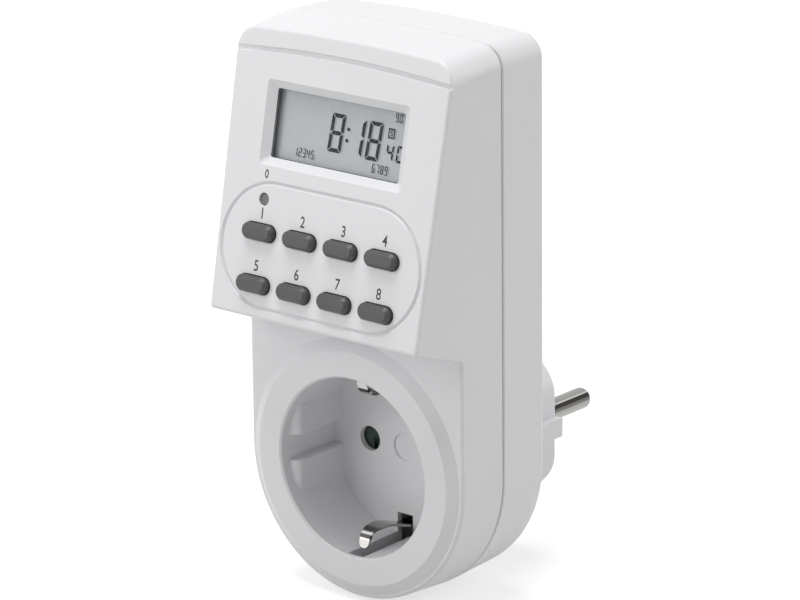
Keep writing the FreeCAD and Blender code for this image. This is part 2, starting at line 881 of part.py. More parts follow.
def board_bosses():
    """Bosses behind the panel that the control board is screwed to."""
    posts = [rod("board_boss", s.board_boss_radius, "z", board_front, -s.wall / 2, x, up)
             for x, up in board_screw_places]
    return on_panel(fuse("board_bosses", posts))


def board_pilots():
    holes = [rod("board_pilot", s.board_screw_radius, "z", board_front - 1, -s.wall, x, up)
             for x, up in board_screw_places]
    return on_panel(fuse("board_pilots", holes))


def front_housing():
    shell = cut("front_shell", front_blank(), [front_cavity()])
    well_radius = s.recess_radius + s.well_wall
    well = rod("socket_well", well_radius, "y", lower_y, floor_back_y)
    bosses = []
    for x, z in screw_places:
        inside = lower_y + s.wall / 2
        if z.number > 0:
            top = z + s.front_boss_radius - panel_z
            inside = panel_y + top * tilt_slope + s.wall * 0.3
        bosses.append(rod("screw_boss", s.front_boss_radius, "y", inside, floor_back_y, x, z=z))
    solid = fuse("front_solid", [shell, well, board_bosses()] + bosses)
    slots = [box("clip_slot", (-s.clip_slot_half, s.clip_slot_half),
                 (ring_y + s.clip_slot_start, floor_back_y + 1), ends)
             for ends in ((clip_slot_low, clip_slot_high), (-clip_slot_high, -clip_slot_low))]
    holes = [rod("pin_hole", s.pin_hole_radius, "y", floor_y - 1, floor_back_y + 1, side * pin_x)
             for side in (-1, 1)]
    mark = rod("centre_mark", s.centre_mark_radius, "y", floor_y - 1, floor_y + s.centre_mark_depth)
    pilot_end = back_y - s.screw_sink - s.screw_length - 1
    pilots = [rod("screw_pilot", s.screw_radius, "y", pilot_end, floor_back_y + 1, x, z=z)
              for x, z in screw_places]
    opened = cut("front_opened", solid, [recess_tool(), panel_spaces(), board_pilots(), mark]
                 + slots + holes + pilots)
    guides = [socket_guide(side, level) for side in (-1, 1) for level in (-1, 1)]
    subpart(fuse("front_housing", [opened] + guides), "front_housing")


# Rear housing


def rear_blank():
    """The rear shell's outside with the round plug body behind it."""
    made = body("rear_blank")
    start = seam_y + s.seam_gap
    bevel = s.seam_chamfer
    seam = housing_outline(sketch(made, "XZ_Plane", -start), s.seam_half_width, s.seam_top, bevel)
    full = housing_outline(sketch(made, "XZ_Plane", -start - bevel), s.seam_half_width, s.seam_top, ZERO)
    rounding = []
    for share in (0, 0.25, 0.5, 0.75, 1):
        turn = as_size(90 * share)
        depth = s.back_round * (1 - sine(turn))
        inset = s.back_round * (1 - cosine(turn))
        plane = sketch(made, "XZ_Plane", depth - back_y)
        rounding.append(housing_outline(plane, back_half_width, back_top, inset))
    loft(made, seam, full, *rounding)
    pad(made, circle(sketch(made, "XZ_Plane"), ZERO, ZERO, plug_radius), s.plug_length + s.wall)
    for side in (-1, 1):
        flat = rectangle(sketch(made, "XZ_Plane"), side * plug_flat, side * (plug_radius + 2),
                         -plug_radius, plug_radius)
        pocket(made, flat, s.plug_length, backwards=True)
    rib = rectangle(sketch(made, "XZ_Plane"), -plug_rib, plug_rib, -s.plug_rib_half, s.plug_rib_half)
    pad(made, rib, s.plug_length + s.wall)
    round_edges(made, s.plug_edge, lambda e: e.BoundBox.YMin > -0.001)
    return made


def rear_cavity():
    made = body("rear_cavity")
    start = seam_y - s.lap_depth - 1
    seam = housing_outline(sketch(made, "XZ_Plane", -start), s.seam_half_width, s.seam_top, s.wall)
    back = housing_outline(sketch(made, "XZ_Plane", -rear_inner_y), back_half_width, back_top, s.wall)
    loft(made, seam, back)
    return made


def plug_room(name, slack, x, z, start, end):
    """The plug's round inside, flattened at the sides, the top and the bottom."""
    made = doc.addObject("Part::Common", name)
    made.Base = rod(f"{name}_round", plug_room_radius - slack, "y", start, end)
    made.Tool = box(f"{name}_flats", (-x, x), (start, end), (-z, z))
    return made


def rear_lip():
    """The thin lip that enters the front shell's rebate."""
    made = body("rear_lip")
    outline = housing_outline(sketch(made, "XZ_Plane", -(seam_y - s.lap_depth)), s.seam_half_width, s.seam_top,
                              s.lap_inset)
    pad(made, outline, s.lap_depth + s.seam_gap + 1, backwards=True)
    return made


def power_bosses():
    z_low = power_board_bottom + s.power_screw_inset
    z_high = power_board_top - s.power_screw_inset
    return signs((power_screw_x, z_low), (power_screw_x, z_high))


def rear_housing():
    room = plug_room("plug_room", ZERO, plug_room_x, plug_room_z, rear_inner_y - 1, -s.plug_face_wall)
    shell = cut("rear_shell", fuse("rear_outside", [rear_blank(), rear_lip()]), [rear_cavity(), room])
    posts = [rod("screw_boss", s.rear_boss_radius, "y", floor_back_y + s.seam_gap / 2, back_y - s.wall / 2, x, z=z)
             for x, z in screw_places]
    posts += [rod("board_post", 2.2 * s.board_screw_radius, "y", rear_inner_y - s.power_board_standoff,
                  back_y - s.wall / 2, x, z=z) for x, z in power_bosses()]
    solid = fuse("rear_solid", [shell] + posts)
    tools = []
    for x, z in screw_places:
        tools.append(rod("screw_way", s.screw_radius + s.key_gap, "y", seam_y - 5, back_y + 1, x, z=z))
        tools.append(rod("screw_sink", s.screw_head_radius + s.key_gap, "y", back_y - s.screw_sink, back_y + 1,
                         x, z=z))
    for x, z in power_bosses():
        tools.append(rod("board_pilot", s.board_screw_radius, "y", rear_inner_y - s.power_board_standoff - 1,
                         back_y - s.wall / 2, x, z=z))
    for side in (-1, 1):
        tools.append(rod("pin_seat", pin_collar_radius, "y", -s.plug_face_wall - 1, as_size(1), side * pin_x))
        groove = (earth_groove_floor, plug_radius + 2)
        slot = (earth_groove_floor, earth_groove_floor + s.strip_thickness + 2 * s.key_gap)
        if side < 0:
            groove = (-groove[1], -groove[0])
            slot = (-slot[1], -slot[0])
        half = (-s.earth_groove_half, s.earth_groove_half)
        tools.append(box("earth_groove", half, (back_y, as_size(1)), groove))
        tools.append(box("earth_slot", half, (rear_inner_y - 1, back_y + 1), slot))
    subpart(cut("rear_housing", solid, tools), "rear_housing")


# Keys and keypad


def key(name):
    """A stadium-shaped key with a bevelled face, a flange behind the panel and a stem on the mat."""
    made = body(name)
    x, up = key_place(name)
    cap = stadium(sketch(made, "XY_Plane", flange_back), x, up, s.key_half_length, s.key_radius)
    pad(made, cap, s.key_proud - flange_back)
    bevel_edges(made, s.key_edge, lambda e: e.BoundBox.ZMin > s.key_proud.number - 0.001)
    round_edges(made, s.key_soft, lambda e: e.BoundBox.ZLength < 0.001
                and e.BoundBox.ZMin > s.key_proud.number - s.key_edge.number - 0.001)
    lip = s.key_flange_lip
    flange = stadium(sketch(made, "XY_Plane", flange_back), x, up, s.key_half_length + lip, s.key_radius + lip)
    pad(made, flange, s.key_flange)
    stem = circle(sketch(made, "XY_Plane", flange_back), x, up, s.stem_radius)
    pad(made, stem, s.stem_length, backwards=True)
    subpart(on_panel(made), name)


def reset_button():
    made = body("reset_button")
    x, up = first_column, reset_height
    pin = circle(sketch(made, "XY_Plane", flange_back - s.stem_length), x, up, s.reset_radius)
    pad(made, pin, s.stem_length - flange_back - s.reset_recess)
    flange = circle(sketch(made, "XY_Plane", flange_back), x, up, 2 * s.reset_radius)
    pad(made, flange, s.key_flange)
    subpart(on_panel(made), "reset_button")


def keypad_mat():
    """The rubber contact mat on the board, with a collar under every key."""
    places = [key_place(name) for name in KEYS] + [(first_column, reset_height)]
    mat = box("mat_sheet", (-mat_half_width, mat_half_width), (mat_bottom, mat_top),
              (board_front, mat_front))
    collars = [rod("mat_collar", s.mat_collar_radius, "z", mat_front - s.mat_thickness / 2, mat_collar_top, x, up)
               for x, up in places]
    solid = fuse("mat_solid", [mat] + collars)
    wells = [rod("mat_well", s.stem_radius + 0.4, "z", mat_front, mat_collar_top + 1, x, up)
             for x, up in places]
    passes = [rod("mat_pass", s.board_boss_radius + s.key_gap, "z", board_front - 1, mat_collar_top, x, up)
              for x, up in board_screw_places[:2]]
    subpart(on_panel(cut("keypad_mat", solid, wells + passes)), "keypad_mat")


# Display


def display_window():
    """A clear window behind the bezel, stepped so that its middle stands in the opening."""
    mid = display_height
    x, up = s.view_half_width + s.window_lip, s.view_half_height + s.window_lip
    made = body("display_window")
    flange = rectangle(sketch(made, "XY_Plane", window_back), -x, x, mid - up, mid + up)
    pad(made, flange, s.window_thickness)
    subpart(on_panel(made), "display_window")


def lcd_frame():
    """The dark frame that holds the display between the window and the board."""
    mid = display_height
    x, up = glass_half_width + s.key_gap, glass_half_height + s.key_gap
    margin = s.lcd_frame_margin
    made = body("lcd_frame")
    pad(made, rectangle(sketch(made, "XY_Plane", board_front), -x - margin, x + margin,
                        mid - up - margin, mid + up + margin), window_back - board_front)
    doc.recompute()
    pocket(made, rectangle(sketch(made, "XY_Plane", board_front), -x, x, mid - up, mid + up),
           glass_front + s.key_gap / 2 - board_front, backwards=True)
    view_x, view_up = s.view_half_width + 0.3, s.view_half_height + 0.3
    pocket(made, rectangle(sketch(made, "XY_Plane", window_back), -view_x, view_x, mid - view_up, mid + view_up),
           s.wall * 2, backwards=False)
    subpart(on_panel(made), "lcd_frame")


def lcd_glass():
    """The display cell: two sheets of glass, the rear one longer where the contact strip lands."""
    mid = display_height
    x, up, sheet_ = glass_half_width, glass_half_height, s.glass_thickness
    made = body("lcd_glass")
    pad(made, rectangle(sketch(made, "XY_Plane", glass_back), -x, x, mid - up, mid + up), sheet_)
    pad(made, rectangle(sketch(made, "XY_Plane", glass_front), -x, x, mid - up + s.glass_step, mid + up),
        sheet_, backwards=True)
    subpart(on_panel(made), "lcd_glass")


def contact_strip():
    """The rubber strip that links the display to the board."""
    low = display_height - glass_half_height
    made = body("contact_strip")
    pad(made, rectangle(sketch(made, "XY_Plane", board_front), -s.view_half_width, s.view_half_width,
                        low, low + s.contact_strip_width), glass_back - board_front)
    subpart(on_panel(made), "contact_strip")


# Control board


def control_board():
    made = body("control_board")
    pad(made, rectangle(sketch(made, "XY_Plane", board_back), -board_half_width, board_half_width,
                        board_bottom, board_top), s.board_thickness)
    for x, up in board_screw_places:
        hole = circle(sketch(made, "XY_Plane", board_front), x, up, s.board_screw_radius + s.key_gap)
        pocket(made, hole, s.board_thickness)
    subpart(on_panel(made), "control_board")


def control_board_screws():
    screws = []
    for x, up in board_screw_places:
        head = rod("screw_head", s.board_screw_head, "z", board_back - 1.3, board_back, x, up)
        shank = rod("screw_shank", s.board_screw_radius, "z", board_back, -s.wall - 0.5, x, up)
        screws.append(fuse("board_screw", [head, shank]))
    subpart(on_panel(group("control_board_screws", screws)), "control_board_screws")


def back_of_board(label, shapes):
    subpart(on_panel(fuse(label, shapes)), label)


def control_parts():
    """The parts soldered behind the control board."""
    lead = s.lead_width / 2
    chip_x, chip_up = -s.chip_radius - 2, side_screw_height + s.chip_radius
    shoulder = s.chip_height / 7
    blob = doc.addObject("Part::Cone", "chip_blob")
    bind(blob, "Radius1", s.chip_radius * 0.65)
    bind(blob, "Radius2", s.chip_radius)
    bind(blob, "Height", s.chip_height - shoulder)
    place(blob, chip_x, chip_up, board_back - s.chip_height)
    base = rod("chip_base", s.chip_radius, "z", board_back - shoulder, board_back, chip_x, chip_up)
    back_of_board("timer_chip", [blob, base])

    can_left, can_level = 2 * s.crystal_radius + 1, board_back - s.crystal_radius
    can = rod("crystal_can", s.crystal_radius, "x", can_left, can_left + s.crystal_length, y=chip_up, z=can_level)
    legs = []
    for up in (chip_up - 2 * lead, chip_up + 2 * lead):
        across = (up - lead / 2, up + lead / 2)
        legs.append(box("crystal_leg", (lead, can_left + lead), across, (can_level - lead / 2, can_level + lead / 2)))
        legs.append(box("crystal_foot", (lead, 2 * lead), across, (can_level - lead / 2, board_back)))
    back_of_board("quartz_crystal", [can] + legs)

    tab = s.cell_tab
    cell_up = middle_row + s.cell_radius + 2.6
    can_back = board_back - tab - s.cell_deep
    cell = rod("cell_can", s.cell_radius, "z", can_back, board_back - tab, y=cell_up)
    cap = rod("cell_cap", s.cell_radius * 0.75, "z", can_back - tab, can_back, y=cell_up)
    back_of_board("backup_battery", [cell, cap])
    half, reach = (-s.cell_radius / 3, s.cell_radius / 3), s.cell_radius + 2
    rear_low = can_back - 2 * tab
    front_tab = box("front_tab", half, (cell_up - reach, cell_up + s.cell_radius / 2), (board_back - tab, board_back))
    rear_tab = box("rear_tab", half, (cell_up - s.cell_radius / 2, cell_up + reach), (rear_low, rear_low + tab))
    rear_leg = box("rear_leg", half, (cell_up + reach - tab, cell_up + reach), (rear_low, board_back))
    back_of_board("battery_tabs", [group("battery_tab_pair", [front_tab, fuse("tab_hook", [rear_tab, rear_leg])])])


# Power board

power_back = rear_inner_y - s.power_board_standoff
power_front = power_back - s.board_thickness


def power_board():
    made = body("power_board")
    pad(made, rectangle(sketch(made, "XZ_Plane", -power_back), -power_board_half_width, power_board_half_width,
                        power_board_bottom, power_board_top), s.board_thickness)
    for x, z in power_bosses():
        hole = circle(sketch(made, "XZ_Plane", -power_front), x, z, s.board_screw_radius + s.key_gap)
        pocket(made, hole, s.board_thickness)
    subpart(made, "power_board")


def power_board_screws():
    screws = []
    for x, z in power_bosses():
        head = rod("screw_head", s.board_screw_head, "y", power_front - 1.3, power_front, x, z=z)
        shank = rod("screw_shank", s.board_screw_radius, "y", power_front, rear_inner_y, x, z=z)
        screws.append(fuse("power_screw", [head, shank]))
    subpart(group("power_board_screws", screws), "power_board_screws")


def board_block(label, left, wide, low, high, deep):
    """A bevelled block that stands on the power board."""
    made = body(label)
    pad(made, rectangle(sketch(made, "XZ_Plane", -power_front), left, left + wide, low, low + high), deep)
    bevel_edges(made, s.part_gap / 3, lambda e: e.BoundBox.YMax < power_front.number - 0.001)
    subpart(made, label)


def power_parts():
    """The parts that stand on the power board."""
    lead = s.lead_width
    relay_left = -power_screw_x + s.board_screw_head + s.part_gap / 3
    relay_low = power_board_top - s.relay_drop - s.relay_high
    board_block("relay", relay_left, s.relay_wide, relay_low, s.relay_high, s.relay_deep)
    film_low = relay_low - s.part_gap - s.film_high
    board_block("film_capacitor", -s.film_wide / 2, s.film_wide, film_low, s.film_high, s.film_deep)

    can_x = relay_left + s.relay_wide + s.part_gap + s.can_radius
    can_z = relay_low + s.relay_high / 2
    can = rod("can", s.can_radius, "y", power_front - s.can_deep, power_front, can_x, z=can_z)
    collar = rod("can_collar", s.can_radius + lead / 2, "y", power_front - 2 * lead, power_front, can_x, z=can_z)
    subpart(fuse("smoothing_capacitor", [can, collar]), "smoothing_capacitor")

    diodes = []
    diode_high = film_low - s.part_gap
    diode_low = diode_high - s.diode_length - 2 * s.lead_reach
    level = power_front - s.diode_radius - lead / 2
    for i in range(4):
        x = -s.film_wide + i * s.diode_pitch
        glass = rod("diode_body", s.diode_radius, "z", diode_low + s.lead_reach, diode_high - s.lead_reach, x, level)
        across = (x - lead / 2, x + lead / 2)
        wire = box("diode_lead", across, (level - lead / 2, level + lead / 2), (diode_low, diode_high))
        feet = [box("diode_foot", across, (level, power_front), ends)
                for ends in ((diode_low, diode_low + lead), (diode_high - lead, diode_high))]
        diodes.append(fuse("diode", [glass, wire] + feet))
    subpart(group("rectifier_diodes", diodes), "rectifier_diodes")

    z = (diode_low + diode_high) / 2
    level = power_front - s.resistor_radius - lead / 2
    start = s.lead_reach
    end = start + s.resistor_length + 2 * s.lead_reach
    core = rod("resistor_core", s.resistor_radius, "x", start + s.lead_reach, end - s.lead_reach, y=level, z=z)
    across = (z - lead / 2, z + lead / 2)
    wire = box("resistor_lead", (start, end), (level - lead / 2, level + lead / 2), across)
    feet = [box("resistor_foot", ends, (level, power_front), across)
            for ends in ((start, start + lead), (end - lead, end))]
    subpart(fuse("series_resistor", [core, wire] + feet), "series_resistor")

    x, z = s.film_wide / 2 + s.part_gap + s.transistor_radius, film_low + s.film_high / 2
    foot = power_front - s.lead_reach
    top = foot - s.transistor_high
    case = doc.addObject("Part::Common", "transistor_case")
    case.Base = rod("case_round", s.transistor_radius, "y", top, foot, x, z=z)
    case.Tool = box("case_keep", (x - s.transistor_radius, x + s.transistor_radius), (top, foot),
                    (z - s.transistor_radius / 2, z + s.transistor_radius))
    legs = [box("transistor_leg", (x + i * 2 * lead - lead / 2, x + i * 2 * lead + lead / 2),
                (foot - lead, power_front), (z - lead / 2, z + lead / 2)) for i in (-1, 0, 1)]
    subpart(fuse("relay_transistor", [case] + legs), "relay_transistor")


# Contacts, pins and earth

contact_front = earth_bar_front + 0.2
contact_back = contact_front + s.contact_length
strap_top = power_board_bottom + s.strap_overlap


def strip_body(label, x, half_width, corners, mirrored=False):
    """A bent strip: its edge-on outline (y, z), given its width across x."""
    made = body(label)
    plane = sketch(made, "YZ_Plane", x)
    strip = pad(made, polygon(plane, corners), 2 * half_width, both_ways=True)
    if mirrored:
        mirror(made, strip, "XY_Plane")
    return made


def clip_half():
    """Half of the earth strip: a leg from the bar out through the floor, a crest and a rounded, turned-down tip."""
    t, thin = s.strip_thickness, s.clip_thickness
    root_, reach = clip_root, clip_reach
    crest_y = ring_y + s.clip_crest_depth
    bend_y = ring_y + s.clip_bend_depth
    tip_y = ring_y + s.clip_tip_depth
    inside = (bend_y + thin * 0.75, reach + thin)
    corners = [
        (earth_bar_back, ZERO), (earth_bar_back, root_ + thin), (floor_y, root_ + thin), (crest_y, reach + thin),
        inside, (tip_y + thin * 1.04, clip_tip), (tip_y, clip_tip), (bend_y, reach), (crest_y, reach),
        (floor_y, root_), (earth_bar_front, root_), (earth_bar_front, ZERO),
    ]
    made = strip_body("clip_half", ZERO, s.clip_half_width, corners)
    wide = s.clip_half_width
    for side in (-1, 1):
        taper_y = crest_y - s.clip_taper_start
        edge = polygon(sketch(made, "XY_Plane"), [
            (side * wide, taper_y), (side * (wide + 1), taper_y), (side * (wide + 1), tip_y),
            (side * s.clip_tip_half, tip_y)])
        pocket(made, edge, FAR, both_ways=True)
    round_edges(made, s.clip_tip_half * 0.9, lambda e: e.BoundBox.ZMin > clip_tip.number - 0.01
                and e.BoundBox.XLength < 0.3)
    round_edges(made, s.clip_round + thin, lambda e: across_at(e, bend_y, reach))
    round_edges(made, s.clip_round, lambda e: across_at(e, *inside))
    round_edges(made, s.clip_crest_round + thin, lambda e: across_at(e, crest_y, reach))
    round_edges(made, s.clip_crest_round, lambda e: across_at(e, crest_y, reach + thin))
    return made


def across_at(edge, y, z):
    """True for an edge that crosses the strip at a place of its side view."""
    box_ = edge.BoundBox
    near = abs(box_.Center.y - y.number) < 0.02 and abs(box_.Center.z - z.number) < 0.02
    return near and box_.XLength > 1


def socket_earth_clips():
    """One bent strip: a bar behind the socket's floor, and a sprung clip at the top and the bottom."""
    upper = clip_half()
    lower = doc.addObject("Part::Mirroring", "clip_half_low")
    lower.Source = upper
    lower.Normal = Vector(0, 0, 1)
    strip = fuse("socket_earth_clips", [upper, lower])
    strip.Refine = True
    subpart(strip, "socket_earth_clips")


def plug_earth_strip():
    """The strip that runs from the earth bar out to the grooves above and below the plug."""
    t = s.strip_thickness
    high = earth_groove_floor + s.key_gap
    bar_back = earth_bar_back + t
    tip = -s.plug_face_wall
    middle = (back_y + tip) / 2
    bulge = t * 0.6
    corners = [
        (earth_bar_back, ZERO), (earth_bar_back, high + t), (back_y, high + t), (middle, high + t + bulge),
        (tip, high + t), (tip, high), (middle, high + bulge), (back_y, high), (bar_back, high), (bar_back, ZERO),
    ]
    made = strip_body("plug_earth_strip", ZERO, s.plug_strip_half_width, corners, mirrored=True)
    subpart(made, "plug_earth_strip")


def earth_rivet():
    pass_radius = as_size(1.2)
    head = rod("rivet_head", as_size(2.0), "y", earth_bar_back + s.strip_thickness,
               earth_bar_back + s.strip_thickness + 0.8)
    subpart(fuse("earth_rivet", [head, rod("rivet_tip", pass_radius, "y",
                                           earth_bar_back + s.strip_thickness,
                                           earth_bar_back + s.strip_thickness + 1.2)]), "earth_rivet")


def socket_contact(label, side):
    """A sprung socket contact: two leaves that pinch the pin, a bridge behind them and a tail to the board."""
    t = s.strip_thickness
    x = side * pin_x
    pinch_y = contact_front + s.contact_length * 0.55
    corners = [
        (contact_back, ZERO), (contact_back, s.contact_mouth), (pinch_y + 2, s.contact_pinch + t),
        (pinch_y, s.contact_pinch + t), (contact_front, s.contact_mouth + t), (contact_front, s.contact_mouth),
        (pinch_y, s.contact_pinch), (pinch_y + 2, s.contact_pinch), (contact_back - t, s.contact_mouth - t),
        (contact_back - t, ZERO),
    ]
    leaves = strip_body(f"{label}_leaves", x, s.contact_half_width, corners, mirrored=True)
    outer = side * (pin_x + s.contact_half_width)
    ends = (outer - s.contact_half_width, outer) if side > 0 else (outer, outer + s.contact_half_width)
    tail = box(f"{label}_tail", ends, (power_back, power_back + t), (s.contact_mouth + t * 0.5, strap_top))
    subpart(fuse(label, [leaves, tail]), label)


def live_strap():
    """The strap that takes the live pin's current up to the relay's board."""
    t = s.strip_thickness
    inner = -pin_x + s.contact_half_width
    outer = inner - s.strap_width
    foot_y = contact_back + s.carrier_plate
    high = strap_high
    foot = box("strap_foot", (-pin_x - s.contact_half_width, inner), (foot_y, foot_y + t),
               (-s.contact_half_width, s.contact_half_width))
    rise = box("strap_rise", (outer, inner), (foot_y, foot_y + t), (ZERO, high))
    run = box("strap_run", (outer, inner), (power_back, foot_y + t), (high - t, high))
    riser = box("strap_riser", (outer, inner), (power_back, power_back + t), (high - t, strap_top))
    hole = rod("strap_hole", s.pin_tail_radius, "y", foot_y - 1, foot_y + t + 1, -pin_x)
    subpart(cut("live_strap", fuse("strap_blank", [foot, rise, run, riser]), [hole]), "live_strap")


def board_ribbon():
    """The flat ribbon cable that hangs between the two boards."""
    made = body("board_ribbon")
    t = s.ribbon_thickness
    start_y = panel_y + s.ribbon_height * tilt_sine - board_back * tilt_cosine
    start_z = panel_z + s.ribbon_height * tilt_cosine + board_back * tilt_sine
    span = power_front - start_y
    sags = ((0.12, 0.2), (0.3, 0.75), (0.5, 1.0), (0.7, 0.8), (0.88, 0.3))
    upper = [(start_y + span * part, start_z - s.ribbon_sag * sag) for part, sag in sags]
    lower = [(y, z - t) for y, z in reversed(upper)]
    corners = [(start_y, start_z)] + upper + [(power_front, start_z), (power_front, start_z - t)] + lower
    corners.append((start_y - t * tilt_slope, start_z - t))
    pad(made, polygon(sketch(made, "YZ_Plane"), corners), 2 * s.ribbon_half_width, both_ways=True)
    subpart(made, "board_ribbon")


def plug_pin(label, side, tail_end):
    """A round plug pin: a domed nose outside, a flange behind the face and a riveted tail."""
    made = body(label)
    flange_start = -s.plug_face_wall
    flange_end = flange_start - s.pin_flange
    nose = s.pin_nose
    profile = polygon(
        sketch(made, "YZ_Plane"),
        [(tail_end, ZERO), (tail_end, s.pin_tail_radius), (flange_end, s.pin_tail_radius),
         (flange_end, s.pin_flange_radius), (flange_start, s.pin_flange_radius), (flange_start, pin_collar_radius),
         (ZERO, pin_collar_radius), (ZERO, s.pin_radius), (s.pin_length, s.pin_radius), (s.pin_length, ZERO)],
    )
    revolve(made, profile)
    round_edges(made, nose, lambda e: e.BoundBox.YMin > s.pin_length.number - 0.001
                and e.Curve.TypeId == "Part::GeomCircle")
    bind(made, "Placement.Base.x", side * pin_x)
    subpart(made, label)


def contact_plate():
    """The insulating plate in the plug that carries the contacts and the tails of the pins."""
    blank = plug_room("plate_blank", s.key_gap, plug_room_x - s.key_gap, carrier_half_height, contact_back,
                      contact_back + s.carrier_plate)
    holes = [rod("tail_hole", s.pin_tail_radius, "y", contact_back - 1, contact_back + s.carrier_plate + 1, side * pin_x)
             for side in (-1, 1)]
    subpart(cut("contact_plate", blank, holes), "contact_plate")


# Child protection


def safety_shutter():
    """A disc that blocks both pin holes and turns aside when two pins push its ramps together."""
    disc = rod("shutter_disc", shutter_radius, "y", shutter_front, shutter_back)
    bore = rod("shutter_bore", s.post_radius + s.running_gap, "y", shutter_front - 1, shutter_back + 1)
    tools = [bore]
    for side in (-1, 1):
        x = side * pin_x * cosine(s.shutter_swing)
        z = side * pin_x * sine(s.shutter_swing)
        tools.append(rod("shutter_window", shutter_window_radius, "y", shutter_front - 1, shutter_back + 1, x, z=z))
        ramp = body("shutter_ramp")
        top = z
        corners = [(shutter_front - 0.01, ZERO), (shutter_front - 0.01, top), (shutter_back - 0.3, top)]
        pad(ramp, polygon(sketch(ramp, "YZ_Plane", x), corners), 2 * s.pin_hole_radius * 0.8, both_ways=True)
        tools.append(ramp)
    subpart(cut("safety_shutter", disc, tools), "safety_shutter")


def shutter_cover():
    """The shallow cup behind the socket's floor that holds the shutter on its post."""
    cup = rod("cover_cup", cover_radius, "y", floor_back_y, cover_back)
    room = rod("cover_room", shutter_radius + s.shutter_gap, "y", floor_back_y - 1, cover_inner)
    hollow = cut("cover_hollow", cup, [room])
    post = rod("cover_post", s.post_radius, "y", shutter_front, cover_back)
    solid = fuse("cover_solid", [hollow, post])
    holes = [rod("cover_pin_hole", s.pin_hole_radius + s.key_gap, "y", cover_inner - 1, cover_back + 1, side * pin_x)
             for side in (-1, 1)]
    subpart(cut("shutter_cover", solid, holes), "shutter_cover")


def shutter_spring():
    """A one-turn torsion spring of square wire round the post, with a leg at each end."""
    wire = s.spring_wire
    low = cover_inner - wire
    outer = s.spring_radius + wire
    ring = rod("spring_ring", outer, "y", low, cover_inner)
    bore = rod("spring_bore", s.spring_radius, "y", low - 1, cover_inner + 1)
    mouth = box("spring_mouth", (wire, outer + 1), (low - 1, cover_inner + 1), (-wire, wire))
    turn = cut("spring_turn", ring, [bore, mouth])
    legs = [box("spring_leg", (s.spring_radius + wire / 4, outer + 3 * wire), (low, cover_inner), ends)
            for ends in ((wire, 2 * wire), (-2 * wire, -wire))]
    subpart(fuse("shutter_spring", [turn] + legs), "shutter_spring")


def housing_screws():
    screws = []
    for x, z in screw_places:
        seat = back_y - s.screw_sink
        head = rod("screw_head", s.screw_head_radius, "y", seat, seat + s.screw_head_height, x, z=z)
        shank = rod("screw_shank", s.screw_radius, "y", seat - s.screw_length, seat, x, z=z)
        turned = fuse("screw_blank", [head, shank])
        slots = [box("screw_cross", (x - a, x + a), (seat + s.screw_head_height - 1.2, seat + 5), (z - b, z + b))
                 for a, b in ((as_size(1.5), as_size(0.35)), (as_size(0.35), as_size(1.5)))]
        screws.append(cut("housing_screw", turned, slots))
    subpart(group("housing_screws", screws), "housing_screws")


front_housing()
rear_housing()
for name in KEYS:
    key(name)
reset_button()
keypad_mat()
display_window()
lcd_frame()
lcd_glass()
contact_strip()
control_board()
control_board_screws()
control_parts()
power_board()
power_board_screws()
power_parts()
socket_earth_clips()
plug_earth_strip()
earth_rivet()
socket_contact("live_contact", -1)
socket_contact("neutral_contact", 1)
live_strap()
board_ribbon()
plug_pin("live_pin", -1, contact_back + s.carrier_plate / 2)
plug_pin("neutral_pin", 1, contact_back)
contact_plate()
safety_shutter()
shutter_cover()
shutter_spring()
housing_screws()

doc.recompute()
for thing in doc.Objects:
    if "Invalid" in thing.State or "Error" in thing.State:
        raise RuntimeError(f"{thing.Label} did not build: {thing.State}")
for thing in SUBPARTS:
    if thing.Shape.isNull() or not thing.Shape.isValid():
        raise RuntimeError(f"{thing.Label} has no valid shape")

os.makedirs("parts", exist_ok=True)
for thing in SUBPARTS:
    thing.Shape.exportStep(f"parts/{thing.Label}.step")
    box_ = thing.Shape.BoundBox
    print(f"{thing.Label}: {len(thing.Shape.Solids)} solid(s), {thing.Shape.Volume:.0f} mm3, "
          f"x {box_.XMin:.1f} to {box_.XMax:.1f}, y {box_.YMin:.1f} to {box_.YMax:.1f}, "
          f"z {box_.ZMin:.1f} to {box_.ZMax:.1f}")
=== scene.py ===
# %% [markdown]
# # A plug-in digital timer
# The real object is a white moulded shell in two halves. In front it has an earthed socket and, above it, a
# sloping console with a grey display, eight dark keys and a small reset key. Behind it has a plug with two
# pins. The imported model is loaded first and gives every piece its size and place. This script adds what a
# solid model lacks: smooth shading, softened edges, printed numbers, the display's segments, and finishes.

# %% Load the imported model
import json

import bmesh
import bpy
import numpy as np
from mathutils import Matrix, Vector


